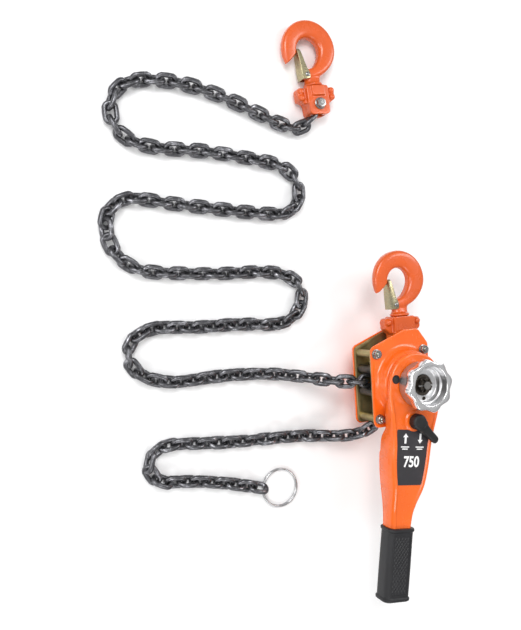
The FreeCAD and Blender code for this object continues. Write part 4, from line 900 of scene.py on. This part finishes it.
def wheel_profile(top, low, deck, floor, mean):
    """The wheel's section as (radius, height, share of the lobes), and where its parts begin."""
    sleeve = [(27.8, low, 0), (27.6, low + 0.3, 0), (27.5, floor - 3, 0), (16.8, floor - 3, 0),
              (16.5, low + 0.4, 0), (16.2, low, 0), (13.7, low, 0)]
    bowl = [(13.3, low + 0.4, 0), (13.3, floor - 0.6, 0), (13.8, floor, 0), (20.0, floor, 0),
            (20.9, floor + 0.3, 0), (21.3, floor + 1.2, 0), (21.5, deck - 0.9, 0),
            (21.8, deck - 0.2, 0), (22.2, deck, 0), (23.2, deck + 0.1, 0), (23.8, deck + 0.6, 0),
            (24.1, deck + 1.6, 0), (24.5, top - 2.4, 0)]
    rim = [(24.7, top - 0.8, 0), (25.1, top - 0.15, 0), (25.7, top, 0), (27.8, top, 0.3),
           (mean - 1.9, top - 0.1, 1), (mean - 0.9, top - 0.6, 1), (mean - 0.25, top - 1.7, 1),
           (mean, top - 3.4, 1), (mean, top - 9.4, 1), (mean - 0.4, top - 10.9, 1)]
    skirt = [(mean - 1.3, top - 12.2, 0.8), (mean - 2.5, top - 13.6, 0.5),
             (mean - 3.2, top - 16, 0.3), (mean - 3.5, low + 2.2, 0.2),
             (mean - 3.7, low + 0.7, 0.1), (mean - 4.0, low, 0)]
    bowl_foot = len(sleeve)
    bowl_lip = bowl_foot + len(bowl)
    return sleeve + bowl + rim + skirt, bowl_foot, bowl_lip, bowl_lip + len(rim)


WHEEL_PROFILE, BOWL_FOOT, BOWL_LIP, SKIRT_TOP = wheel_profile(135.5, 107.5, 125.0, 118.0, 32.3)


class WINCH_OT_handwheel(bpy.types.Operator):
    """Build the lobed handwheel and the hub parts inside its bowl"""
    bl_idname = "winch.handwheel"
    bl_label = "Handwheel"

    def execute(self, context):
        sizes = context.scene.winch_forms
        rings = []
        for radius, z, part in WHEEL_PROFILE:
            ring = []
            for a in round_angles(160):
                r = radius + part * sizes.lobe_rise / MM * math.cos(8 * (a - sizes.lobe_turn))
                ring.append((r * math.cos(a), r * math.sin(a), z))
            rings.append(ring)
        rim = skin("handwheel_rim", rings[BOWL_LIP:SKIRT_TOP + 1], caps=False)
        skirt = skin("handwheel_skirt", rings[SKIRT_TOP:] + rings[:BOWL_FOOT + 1], caps=False)
        bowl = skin("handwheel_bowl", rings[BOWL_FOOT:BOWL_LIP + 1], caps=False)
        piece("handwheel_rim", rim, "wheel_chrome", "handwheel", ["handwheel"], sharp=50.0)
        # The skirt takes the darker finish as painted shade for the shadow under the rim.
        piece("handwheel_skirt", skirt, "skirt_satin", "handwheel", sharp=50.0)
        piece("handwheel_bowl", bowl, "wheel_satin", "handwheel", sharp=50.0)
        mark = lathe("mark", [(2.5, 118.0), (2.5, 118.35), (2.3, 118.5), (1.6, 118.5),
                              (1.45, 118.2), (0.6, 118.2), (0.5, 118.45), (0.0, 118.5)],
                     moved(0.5, -17.2, 0), 32)
        piece("wheel_mark", mark, "hub_steel", "handwheel")
        for node, finish in (("castle_nut", "hub_steel"), ("castle_washer", "hub_steel"),
                             ("split_pin", "bright_zinc")):
            softened_piece(node, 0.0003, finish, "drive")
        boss = lathe("boss", [(5.2, 117.05), (12.8, 117.05), (13.0, 117.3), (13.0, 118.4),
                              (12.5, 118.9), (9.8, 118.9), (9.5, 118.0), (5.2, 118.0)], wrap=True)
        piece("hub_collar", boss, "hub_steel", "drive")
        return {"FINISHED"}


# ---------------------------------------------------------------- lever

HEAD_RADIUS, ARM_TIP = 40.5, 276.0
# Half widths and heights of the lever, each at a distance down the arm.
ARM_HALVES = [(0, 40.5), (12, 40.3), (30, 38.0), (48, 34.6), (64, 32.6), (80, 31.8), (96, 31.0),
              (115, 29.0), (136, 25.2), (156, 20.8), (175, 17.9), (190, 16.9), (276, 16)]
FACE_LEVELS = [(0, 106), (124, 106), (134, 105.2), (150, 101.8), (166, 98.7), (176, 98), (276, 98)]
BACK_LEVELS = [(0, 98.5), (74, 98.5), (78, 97), (88, 80), (92, 78), (276, 78)]
WALL_FEET = [(0, 101.4), (18, 101.4), (32, 95), (44, 91.6), (59, 91.2), (66, 86), (72, 82.6),
             (82, 80.9), (276, 80.9)]
ROW_STEP = 3.0


def lever_outline():
    """Right half of the lever from above: (half width, distance down the arm), head first."""
    line = []
    for k in range(25):
        a = math.radians(90.0 - 3.75 * k)
        line.append((HEAD_RADIUS * math.cos(a), -HEAD_RADIUS * math.sin(a)))
    y = ROW_STEP
    while y < ARM_TIP:
        line.append((follow(ARM_HALVES, y), y))
        y += ROW_STEP
    line.append((follow(ARM_HALVES, ARM_TIP), ARM_TIP))
    return line


def shell_rows(line, profile, columns=8):
    """Rows across the lever, from wall to wall.

    profile(y) gives the (inset, level) steps of one half, from the wall's foot to the inner face.
    """
    rows = []
    for k, (half, y) in enumerate(line):
        before, after = line[max(k - 1, 0)], line[min(k + 1, len(line) - 1)]
        along = Vector((after[0] - before[0], after[1] - before[1])).normalized()
        normal = Vector((along.y, -along.x))
        if k == 0:
            normal = Vector((0.0, -1.0))
        steps = profile(y)
        right = [(max(half - normal.x * inset, 0.0), y - normal.y * inset, z) for inset, z in steps]
        x, yy, z = right[-1]
        middle = [(x * (1 - 2 * c / columns), yy, z) for c in range(1, columns)]
        row = right + middle + [(-px, py, pz) for px, py, pz in reversed(right)]
        rows.append([(px, -py, pz) for px, py, pz in row])
    return rows


def lever_front_profile(y):
    face, back = follow(FACE_LEVELS, y), follow(BACK_LEVELS, y)
    arm = smooth(46, 84, y)
    lip = 2.7 * smooth(16, 44, y) * mix(1.0, 0.3, smooth(132, 168, y))
    foot = follow(WALL_FEET, y) + 0.6
    wide = mix(3.2, 6.0, arm)
    tall = min(mix(3.2, 11.5, smooth(30, 90, y)), face + lip - foot - 0.4)
    steps = [(2.1, max(back, foot) + 0.4), (2.0, foot), (1.6, foot - 0.5), (0.9, foot - 0.6),
             (0.25, foot - 0.3), (0.0, foot + 0.3)]
    for k in range(9):
        a = math.radians(11.25 * k)
        steps.append((wide * (1 - math.cos(a)), face + lip - tall + tall * math.sin(a)))
    for beyond, height in ((0.7, 0.93), (1.4, 0.62), (2.0, 0.2), (2.4, 0.03), (3.2, 0.0),
                           (5.0, 0.0)):
        steps.append((wide + beyond, face + lip * height))
    return steps


def lever_back_profile(y):
    back = follow(BACK_LEVELS, y)
    deep = smooth(78, 96, y)
    edge = 2.2 * smooth(16, 26, y) * (1 - smooth(84, 94, y))
    steps = [(1.6 + edge, back + 2.6), (0.8 + edge, back + 2.5), (0.45 + edge, back + 2.1)]
    for k in range(5):
        a = math.radians(22.5 * k)
        steps.append((0.4 + edge + 1.7 * (1 - math.cos(a)), back + 1.9 - 1.9 * math.sin(a)))
    steps += [(5.0, back), (7.0, back + 0.4 * deep), (9.0, back + 0.9 * deep),
              (11.0, back + 0.9 * deep)]
    return steps


def lever_frame(context):
    return Matrix.Rotation(context.scene.winch_forms.lever_turn, 4, "Z")


def bar_mesh(name, place, halves, tops, foot, edge, axis_steps):
    """A bar along +X with rounded edges; its half width and top follow their stops."""
    start, end = halves[0][0], halves[-1][0]
    rings = []
    for k in range(axis_steps + 1):
        x = mix(start, end, 0.5 - 0.5 * math.cos(math.pi * k / axis_steps))
        half, high = follow(halves, x), follow(tops, x)
        corner = min(edge, half * 0.98, (high - foot) / 2)
        rings.append([(x, *spot) for spot in oblong((-half, foot), (half, high), corner, 6)])
    return skin(name, rings, place)


KNOB_AT = (0, -47.5, 0)
PLUG_SHIFT = Vector((-0.0048, 0.0, 0.0))
LABEL_FACE = 106.05
ARROW = [(-1.5, -6.5), (1.5, -6.5), (1.5, 1.5), (4.0, 1.5), (0.0, 6.5), (-4.0, 1.5), (-1.5, 1.5)]


class WINCH_OT_lever(bpy.types.Operator):
    """Build the lever shells, label, plug and knob"""
    bl_idname = "winch.lever"
    bl_label = "Lever"

    def execute(self, context):
        sizes = context.scene.winch_forms
        turn = lever_frame(context)
        line = lever_outline()
        for name, profile in (("lever_front", lever_front_profile),
                              ("lever_back", lever_back_profile)):
            shell = skin(name, shell_rows(line, profile), turn, closed=False, caps=False)
            piece(name, shell, "orange_paint", "lever", [name + "_shell"], sharp=60.0)
        knob_place = turn @ moved(*KNOB_AT)
        collar = lathe("knob_collar", [(14.6, 105.9), (13.4, 106.5), (12.7, 107.3), (12.1, 107.75),
                                       (11.0, 107.9), (4.0, 107.9), (4.0, 105.9)],
                       knob_place, wrap=True)
        piece("knob_collar", collar, "orange_paint", "lever")
        self.knob(knob_place @ Matrix.Rotation(sizes.knob_turn, 4, "Z"))
        self.plug()
        self.label(turn)
        return {"FINISHED"}

    def knob(self, place):
        hub = lathe("hub", [(8.9, 108.2), (9.7, 108.9), (10.2, 110.0), (10.1, 117.6), (9.6, 119.4),
                            (8.4, 120.3), (6.4, 120.7), (3.5, 120.8), (0.0, 120.8)], place, 48)
        halves = [(0, 9.0), (8, 8.2), (15, 6.2), (24, 5.5), (33, 5.2), (38, 4.8), (40.4, 3.8),
                  (41.6, 2.2), (42, 0.4)]
        tops = [(0, 120.2), (8, 119.8), (14, 117.8), (24, 116.8), (36, 116.2), (40, 115.4),
                (42, 113.8)]
        pointer = bar_mesh("pointer", place, halves, tops, 109.6, 2.4, 44)
        knob = forged("direction_knob", [hub, pointer], 0.0005, 5)
        piece("direction_knob", knob, "knob_plastic", "knob", ["changeover_knob"], sharp=80.0)
        softened_piece("knob_screw", 0.0004, "knob_plastic", "knob")

    def plug(self):
        low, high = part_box("inspection_plug")
        middle = (low + high) / 2 + PLUG_SHIFT
        dome = lathe("plug_dome", [(5.6, 105.7), (5.6, 106.4), (5.2, 106.9), (4.6, 107.0),
                                   (4.2, 106.7), (3.6, 106.9), (2.4, 107.5), (1.2, 107.8),
                                   (0.0, 107.85)],
                     Matrix.Translation((middle.x, middle.y, 0.0)), 40)
        piece("plug_dome", dome, "knob_plastic", "lever", ["inspection_plug"])

    def label(self, turn):
        half, foot_half, top, foot, rise = 25.2, 18.2, -59.0, -129.5, 21.0
        shoulder = half - 1.4
        corners = [(half, top), (-half, top), (-shoulder, foot + rise), (-foot_half, foot),
                   (foot_half, foot), (shoulder, foot + rise)]
        rim = rounded_outline(corners, 1.6, 3.0)
        out = outward(rim)
        rings = [inset_ring(rim, out, inset, LABEL_FACE + z)
                 for inset, z in ((0.0, -0.3), (0.0, 0.28), (0.12, 0.36), (0.5, 0.4))]
        sheet = skin("label_sheet", rings, turn)
        piece("label_sheet", sheet, "label_film", "lever", ["label_plate"])
        levels = [LABEL_FACE + z for z in (0.3, 0.46)]
        parts = []
        for side in (-1, 1):
            middle = side * 11.5
            points = [(middle + x, -70.0 - side * y) for x, y in ARROW]
            parts.append(raised(points if side < 0 else points[::-1], levels, turn))
            for k, bar in enumerate((6.4, 4.4)):
                left, right, y = middle - bar, middle + bar, -81.5 - 2.6 * k
                points = [(left, y), (right, y), (right, y + 1.3), (left, y + 1.3)]
                parts.append(raised(points, levels, turn))
        parts.append(self.numerals(turn))
        piece("label_marks", gathered("label_marks", parts), "label_print", "lever",
              sharp=30.0)

    def numerals(self, turn):
        """The rated load in kilograms."""
        text = bpy.data.curves.new("numerals", "FONT")
        text.body = "750"
        text.size = 19.0 * MM
        text.align_x = "CENTER"
        text.extrude = 0.08 * MM
        text.offset = 0.5 * MM
        text.resolution_u = 6
        mesh = evaluated(linked("numerals", text))
        squeeze = Matrix.Diagonal((0.86, 1.0, 1.0, 1.0))
        mesh.transform(turn @ moved(0.0, -106.0, LABEL_FACE + 0.4) @ squeeze)
        return mesh


# ---------------------------------------------------------------- grip

def diamond_recipe():
    """Low four-sided studs in staggered rows over a flat field."""
    r = Recipe("grip_diamonds", {"Across": 0.024, "Along": 0.073, "Columns": 5, "Rows": 11,
                                 "Height": 0.0006, "Gap": 0.88})
    columns, rows = r.size("Columns"), r.size("Rows")
    across, along = r.size("Across"), r.size("Along")
    wide, tall = across / columns, along / rows
    fields = []
    for fewer in (0.0, 1.0):
        fields.append(r.node("GeometryNodeMeshGrid", None, {
            "Size X": across - wide * (1.0 + fewer), "Size Y": along - tall * (1.0 + fewer),
            "Vertices X": columns - fewer, "Vertices Y": rows - fewer}))
    spots = r.merged("GeometryNodeJoinGeometry", fields)
    stud = r.node("GeometryNodeMeshCone", None, {
        "Vertices": 4, "Radius Top": 0.28, "Radius Bottom": 0.5, "Depth": 1.0})
    size = r.joined(wide * r.size("Gap"), tall * r.size("Gap"), r.size("Height"))
    studs = r.node("GeometryNodeInstanceOnPoints", None,
                   {"Points": spots, "Instance": stud, "Scale": size})
    r.end(studs, FINISHES["grip_rubber"])
    return r


GRIP_LEVEL, GRIP_DEPTH = 88.0, 13.0


class WINCH_OT_grip(bpy.types.Operator):
    """Build the grip sleeve and its diamond pattern"""
    bl_idname = "winch.grip"
    bl_label = "Grip"

    def execute(self, context):
        turn = lever_frame(context)
        half, corner = 19.0, 7.5
        stations = [(187.0, -2.2), (187.2, 0.6), (187.9, 1.45), (189.0, 1.6), (190.6, 1.5),
                    (191.4, 0.7), (192.2, 0.0), (207.0, 0.0), (235.0, 0.15), (262.0, 0.1),
                    (274.6, 0.0), (275.4, 0.6), (276.3, 1.5), (277.6, 1.6), (279.0, 1.2),
                    (279.8, 0.2), (280.0, -1.4)]
        rings = [[(x, -y, GRIP_LEVEL + z)
                  for x, z in oblong((-half, -GRIP_DEPTH), (half, GRIP_DEPTH), corner, 8, grow)]
                 for y, grow in stations]
        parts = [skin("grip_sleeve", rings, turn)]
        field = diamond_recipe().grown(bpy.data.meshes.new("seed"), {})
        for side in (1, -1):
            patch = field.copy()
            place = moved(0.0, -233.5, GRIP_LEVEL + side * (GRIP_DEPTH + 0.05))
            patch.transform(turn @ place @ Matrix.Rotation(0.0 if side > 0 else math.pi, 4, "Y"))
            parts += [patch, self.border(side, turn)]
        piece("grip_sleeve", gathered("grip_sleeve", parts), "grip_rubber", "lever", ["grip"],
              sharp=35.0)
        return {"FINISHED"}

    def border(self, side, turn):
        """A low bead around the diamond field."""
        half, top, foot = 13.2, -195.5, -271.5
        rim = rounded_outline([(-half, foot), (half, foot), (half, top), (-half, top)], 3.0, 4.0)
        out = outward(rim)
        level = GRIP_LEVEL + side * GRIP_DEPTH
        rings = [inset_ring(rim, out, inset, level + side * height)
                 for inset, height in ((0.7, -0.2), (0.4, 0.35), (0.0, 0.5), (-0.4, 0.35),
                                       (-0.7, -0.2))]
        return skin("bead", rings, turn, wrap=True)


# ---------------------------------------------------------------- hooks and yokes

HOOK_BASE = 25.3
BOWL = Vector((-1.8, HOOK_BASE + 48.0))
CROWN = Vector((0.2, HOOK_BASE + 48.6))
BOWL_RADIUS, CROWN_RADIUS, BOWL_DROP = 16.6, 39.6, 8.0
CRESCENT_HEEL, CRESCENT_POINT, CRESCENT_STEPS = 184.0, -101.0, 45
CRESCENT_DEPTHS = [(-101, 7.0), (-70, 7.8), (-30, 8.4), (20, 8.8), (80, 8.3), (140, 7.0),
                   (184, 5.2)]


def blunt_circle(power):
    """Points round a circle that is squared off, as (across, up)."""
    return [tuple(math.copysign(abs(c) ** power, c) for c in (math.cos(a), math.sin(a)))
            for a in round_angles(28)]


def crescent_ring(k):
    """One section of the crescent; the two below 0 close its heel."""
    degrees = mix(CRESCENT_HEEL, CRESCENT_POINT, max(k, 0) / CRESCENT_STEPS)
    inner_angle = math.radians(degrees)
    outer_angle = inner_angle + math.radians(21.5) * smooth(148, 184, degrees)
    down = max(0.0, -math.sin(inner_angle)) ** 1.5
    inner = BOWL + BOWL_RADIUS * Vector((math.cos(inner_angle), math.sin(inner_angle)))
    inner += Vector((-3.0, -BOWL_DROP)) * down
    ray = Vector((math.cos(outer_angle), math.sin(outer_angle)))
    along = (CROWN - BOWL).dot(ray)
    reach = along + math.sqrt(along ** 2 - (CROWN - BOWL).length_squared + CROWN_RADIUS ** 2)
    outer = BOWL + ray * reach + Vector((-5.0, 1.5)) * down
    deep = follow(CRESCENT_DEPTHS, degrees)
    centre, half = (inner + outer) / 2, (outer - inner) / 2
    shrink, shift = {-2: (0.55, 1.3), -1: (0.85, 0.7)}.get(k, (1.0, 0.0))
    if shift:
        centre = centre + Vector((0.3, -1.0)) * shift
    ring = []
    for u, w in blunt_circle(0.62):
        u, w = u * shrink, w * shrink
        spot = centre + half * u
        ring.append((spot.x, spot.y, w * deep * (1.0 + 0.06 * u)))
    return ring


def hook_mesh(name, place, grid):
    """A forged hook: a crescent that thins to its point, blended into a collared shank."""
    crescent = skin("crescent", [crescent_ring(k) for k in range(-2, CRESCENT_STEPS + 1)], place)
    rings = []
    for y, left, right, deep in ((24.6, -11.8, 11.8, 8.0), (27, -12.0, 12.0, 8.0),
                                 (32, -10.8, 11.0, 7.2), (36, -10.6, 11.4, 6.6),
                                 (40, -10.8, 13.2, 6.4), (44, -10.8, 14.4, 6.4),
                                 (48, -8.0, 12.0, 6.4)):
        rings.append([((left + right) / 2 + u * (right - left) / 2, y, w * deep)
                      for u, w in blunt_circle(0.75)])
    shank = skin("shank", rings, place)
    lying = place @ Matrix.Rotation(-math.pi / 2, 4, "X")
    collar = lathe("collar", [(0.0, 25.3), (12.4, 25.3), (13.0, 26.0), (13.0, 27.8), (12.0, 28.8),
                              (9.0, 29.6), (0.0, 29.6)], lying, 48)
    neck = lathe("neck", [(0.0, 12.2), (11.2, 12.2), (11.2, 16.6), (7.5, 16.9), (7.5, 25.6),
                          (0.0, 25.6)], lying, 40)
    return forged(name, [crescent, shank, collar, neck], grid, 7)


EARS = rounded_outline([(20.0, 2.2), (28.4, 8.6), (28.4, 22.8), (-28.4, 22.8), (-28.4, 8.6),
                        (-20.0, 2.2)], 4.0, 4.0)


def yoke_mesh(name, place, grid):
    """Two forged halves: block, ears with rivet bumps, foot, and a boss on the load yoke."""
    parts = [brick((-16.6, 0.0, -11.4), (16.6, 24.6, 11.4), 2.5, place),
             raised(EARS, (-6.2, 6.2), place),
             brick((-15.4, -13.6, -11.6), (15.4, 8.0, 11.6), 5.0, place)]
    loaded = name.startswith("load")
    if loaded:
        parts.append(brick((-9.8, 11.0, -14.2), (9.8, 24.4, 14.2), 1.0, place))
    for side in (-1, 1):
        for y in (9.4, 18.2) if loaded else (17.0,):
            parts.append(lathe("bump", [(0.0, -10.0), (2.6, -9.6), (4.0, -8.4), (4.4, -6.0),
                                        (4.4, 6.0), (4.0, 8.4), (2.6, 9.6), (0.0, 10.0)],
                               place @ moved(side * 23.4, y, 0), 24))
    slot = 4.2
    cutters = [brick((-slot, -30.0, -11.0), (slot, 9.2, 11.0), 0.5, place),
               brick((-11.0, -30.0, -slot), (11.0, 9.2, slot), 0.5, place),
               brick((-40.0, -40.0, -0.22), (40.0, 60.0, 0.22), 0.05, place)]
    return forged(name, parts, grid, 5, cutters)


TOP_YOKE_LEVEL = 0.06
LATCH_AT = Vector((-10.0, HOOK_BASE + 15.0, 0.0))
# Along the latch: place, free edge of its sides, half width.
LATCH_STOPS = [(-5.5, 3.0, 7.9), (-4.0, 4.2, 8.0), (0.0, 4.8, 8.0), (4.0, 4.0, 8.0),
               (9.0, 1.6, 7.9), (16.0, 0.0, 7.6), (24.0, -1.2, 7.0), (31.0, -2.6, 6.4),
               (34.0, -3.8, 5.9), (35.0, -4.8, 5.2)]


def latch_mesh(place):
    """A pressed channel: its web faces out of the hook's mouth and its sides narrow to the tip."""
    wall, web = 1.2, -7.6
    rings = [[(web, v, -half), (web, v, half), (edge, v, half), (edge, v, half - wall),
              (web + wall, v, half - wall), (web + wall, v, wall - half), (edge, v, wall - half),
              (edge, v, -half)] for v, edge, half in LATCH_STOPS]
    return worked(skin("latch", rings, place), rounding(0.0005, 40.0))


def rivet_mesh(place):
    """A pin with a dished head at each end."""
    half = [(2.0, 8.0), (3.2, 8.1), (3.1, 9.0), (2.4, 9.6), (1.4, 9.7), (1.0, 9.3), (0.0, 9.2)]
    return lathe("rivet", [(r, -z) for r, z in half[::-1]] + half, place, 32)


def coil(name, radius, wire, low, high, turns, place):
    """An open round-wire coil about its own Z."""
    steps = turns * 20
    rings = []
    for k in range(steps + 1):
        a = 2 * math.pi * turns * k / steps
        centre = Vector((radius * math.cos(a), radius * math.sin(a), mix(low, high, k / steps)))
        out = Vector((math.cos(a), math.sin(a), 0))
        rings.append([centre + out * (wire * math.cos(t)) + Vector((0, 0, wire * math.sin(t)))
                      for t in round_angles(8)])
    return skin(name, rings, place)


def pin_nut(name, place, level):
    """A washer, nut and bolt end on the load yoke's chain pin."""
    washer = lathe("washer", [(0.0, level), (7.5, level), (7.7, level + 0.3), (7.7, level + 1.0),
                              (7.4, level + 1.2), (0.0, level + 1.2)], place, 40)
    rings = []
    for z, flat, part in ((level + 1.2, 5.8, 1.0), (level + 5.4, 5.8, 1.0), (level + 6.0, 5.5, 0.8),
                          (level + 6.15, 4.6, 0.0), (level + 6.15, 3.6, 0.0)):
        ring = []
        for a in round_angles(48):
            fold = (a + math.pi / 6) % (math.pi / 3) - math.pi / 6
            reach = mix(flat, flat / math.cos(fold), part)
            ring.append((reach * math.cos(a), reach * math.sin(a), z))
        rings.append(ring)
    end = lathe("end", [(0.0, level), (3.0, level), (3.0, level + 7.0), (2.5, level + 7.5),
                        (0.0, level + 7.5)], place, 32)
    return gathered(name, [washer, skin("nut", rings, place), end])


class WINCH_OT_suspensions(bpy.types.Operator):
    """Build both yokes, hooks and latches"""
    bl_idname = "winch.suspensions"
    bl_label = "Hooks and yokes"

    def execute(self, context):
        sizes = context.scene.winch_forms
        for end, turn in (("top", 0.0), ("load", sizes.load_turn)):
            at = pivot(end + "_yoke_swing")
            if end == "top":
                at.z = TOP_YOKE_LEVEL
            place = Matrix.Translation(at) @ Matrix.Rotation(turn, 4, "Z")
            hook, yoke = end + "_hook", end + "_yoke"
            forging = hook_mesh(hook + "_forging", place, sizes.grid)
            piece(hook + "_forging", forging, "orange_forging", hook, [hook], sharp=75.0)
            forging = yoke_mesh(yoke + "_forging", place, sizes.grid)
            piece(yoke + "_forging", forging, "orange_forging", yoke,
                  [yoke + "_halves", yoke + "_rivets"], sharp=50.0)
            seat = place @ Matrix.Translation(LATCH_AT * MM)
            sheet = latch_mesh(seat @ Matrix.Rotation(sizes.latch_lean, 4, "Z"))
            piece(end + "_latch_sheet", sheet, "latch_zinc", end + "_latch", [end + "_latch"])
            spring = coil("coil", 3.1, 0.5, -2.2, 2.2, 4, seat)
            for part, mesh, node in (("rivet", rivet_mesh(seat), "pin"),
                                     ("coil", spring, "spring")):
                piece(end + "_latch_" + part, mesh, "bright_zinc", hook, [end + "_latch_" + node])
            if end == "load":
                piece("load_pin_nut", pin_nut("load_pin_nut", place, 12.1), "bright_zinc", yoke)
        return {"FINISHED"}


class WINCH_OT_ring(bpy.types.Operator):
    """Build the split end ring"""
    bl_idname = "winch.ring"
    bl_label = "End ring"

    def execute(self, context):
        low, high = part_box("end_ring")
        centre = (low + high) / 2
        wire = 1.35
        radius = (high.x - low.x) / MM / 2 - wire
        steps, turns = 180, 2.08
        rings = []
        for k in range(steps + 1):
            t = k / steps
            a = 0.7 + 2 * math.pi * turns * t
            lift = wire + 2 * wire * smooth(0.42, 0.58, t)
            end = min(1.0, 0.35 + 40 * min(t, 1 - t))
            out = Vector((math.cos(a), math.sin(a), 0))
            rings.append([out * (radius + wire * end * math.cos(b))
                          + Vector((0, 0, lift + wire * end * math.sin(b)))
                          for b in round_angles(10)])
        ring = skin("split_ring", rings, Matrix.Translation((centre.x, centre.y, 0.0)))
        piece("split_ring", ring, "ring_steel", "end_ring", ["end_ring"], sharp=60.0)
        return {"FINISHED"}


# ---------------------------------------------------------------- stage

# Name, place, size and watts of each soft panel.
LIGHTS = [("key_panel", (-0.75, 0.95, 1.65), (0.9, 0.9), 18.5),
          ("right_panel", (1.25, 0.75, 1.3), (0.5, 1.2), 11.0),
          ("left_panel", (-1.35, 0.1, 0.75), (0.6, 0.9), 7.0),
          ("front_panel", (-0.3, -1.45, 1.3), (1.2, 0.5), 10.0)]
LIT_SPOT = Vector((-0.12, 0.1, 0.0))
FLOOR_DROP = 0.0004
CAMERA_LENS, CAMERA_SENSOR, CAMERA_NEAR = 36.57, 36.0, 0.01
CAMERA_EYE = (-0.5117, 0.1229, 0.7765)
CAMERA_RIGHT, CAMERA_UP = (0.9115, -0.0605, 0.4067), (0.0663, 0.9978, 0.0)
CAMERA_BACK = (-0.4058, 0.0270, 0.9135)

# The guide rollers between the side plates get the near-black hub steel as painted shade, so they sink into the
# shaded gap.
SHADE_PAINTED_NODES = dict.fromkeys(("guide_roller_a", "guide_roller_b", "guide_roller_pins"), "hub_steel")


class WINCH_OT_finishes(bpy.types.Operator):
    """Mix every finish and give the CAD nodes theirs"""
    bl_idname = "winch.finishes"
    bl_label = "Finishes"

    def execute(self, context):
        make_finishes(context.scene.winch_colours)
        for name, node in frame["nodes"].items():
            for holder in node.material_slots:
                # Nodes in the painted shade table take the dark hub steel as painted shade instead of their own
                # finish.
                holder.material = FINISHES[SHADE_PAINTED_NODES.get(name, slot_of_node(name))]
        return {"FINISHED"}


class WINCH_OT_stage(bpy.types.Operator):
    """Set up the floor, the light and the camera"""
    bl_idname = "winch.stage"
    bl_label = "Stage"

    def execute(self, context):
        sizes = context.scene.winch_stage
        half = sizes.floor
        floor = bpy.data.meshes.new("floor")
        floor.from_pydata([(-half, -half, 0), (half, -half, 0), (half, half, 0), (-half, half, 0)],
                          [], [(0, 1, 2, 3)])
        floor.materials.append(floor_finish())
        ground = linked("floor", floor)
        ground.location.z = -FLOOR_DROP
        for row in LIGHTS:
            self.light(*row)
        self.sky(context, sizes.sky)
        self.camera(context)
        context.scene.view_settings.view_transform = "Standard"
        return {"FINISHED"}

    def light(self, name, place, size, power):
        panel = bpy.data.lights.new(name, "AREA")
        panel.shape = "RECTANGLE"
        panel.size, panel.size_y = size
        panel.energy = power
        lamp = linked(name, panel)
        lamp.location = place
        lamp.rotation_euler = (LIT_SPOT - lamp.location).to_track_quat("-Z", "Y").to_euler()

    def sky(self, context, strength):
        """White overhead, greyer towards the horizon, so that plated parts have contrast."""
        world = bpy.data.worlds.new("studio")
        world.use_nodes = True
        t = Tree(world.node_tree)
        t.tree.nodes.clear()
        height = t.parts(t.node("ShaderNodeTexCoord", out="Generated"))[2]
        level = t.node("ShaderNodeMapRange", {"interpolation_type": "SMOOTHSTEP"},
                       {0: height, 1: -0.05, 2: 0.95, 3: 0.20, 4: 0.62})
        glow = t.node("ShaderNodeBackground", None,
                      {"Color": (1.0, 1.0, 1.0, 1.0), "Strength": level * strength})
        t.node("ShaderNodeOutputWorld", None, {"Surface": glow})
        context.scene.world = world

    def camera(self, context):
        view = bpy.data.cameras.new("camera")
        view.lens = CAMERA_LENS
        view.sensor_width = CAMERA_SENSOR
        view.clip_start = CAMERA_NEAR
        eye = linked("camera", view)
        turn = Matrix((CAMERA_RIGHT, CAMERA_UP, CAMERA_BACK)).transposed()
        eye.matrix_world = Matrix.Translation(CAMERA_EYE) @ turn.to_4x4()
        context.scene.camera = eye


# ---------------------------------------------------------------- panel and running order

class WINCH_PT_panel(bpy.types.Panel):
    """Sizes, colours and steps of the winch"""
    bl_idname = "WINCH_PT_panel"
    bl_label = "Come Along Winch"
    bl_space_type = "VIEW_3D"
    bl_region_type = "UI"
    bl_category = "Winch"

    def draw(self, context):
        for group, kind in GROUPS.items():
            box = self.layout.box()
            for name in kind.__annotations__:
                box.prop(getattr(context.scene, group), name)
        for step in STEPS:
            self.layout.operator(step.bl_idname)


STEPS = (WINCH_OT_finishes, WINCH_OT_stage, WINCH_OT_chains, WINCH_OT_body, WINCH_OT_handwheel,
         WINCH_OT_lever, WINCH_OT_grip, WINCH_OT_suspensions, WINCH_OT_ring)
CLASSES = (*GROUPS.values(), *STEPS, WINCH_PT_panel)


def register():
    for cls in CLASSES:
        bpy.utils.register_class(cls)
    for group, kind in GROUPS.items():
        setattr(bpy.types.Scene, group, bpy.props.PointerProperty(type=kind))


def unregister():
    for group in GROUPS:
        delattr(bpy.types.Scene, group)
    for cls in reversed(CLASSES):
        bpy.utils.unregister_class(cls)


def main():
    register()
    for step in STEPS:
        group, name = step.bl_idname.split(".")
        getattr(getattr(bpy.ops, group), name)()


if __name__ == "__main__":
    main()
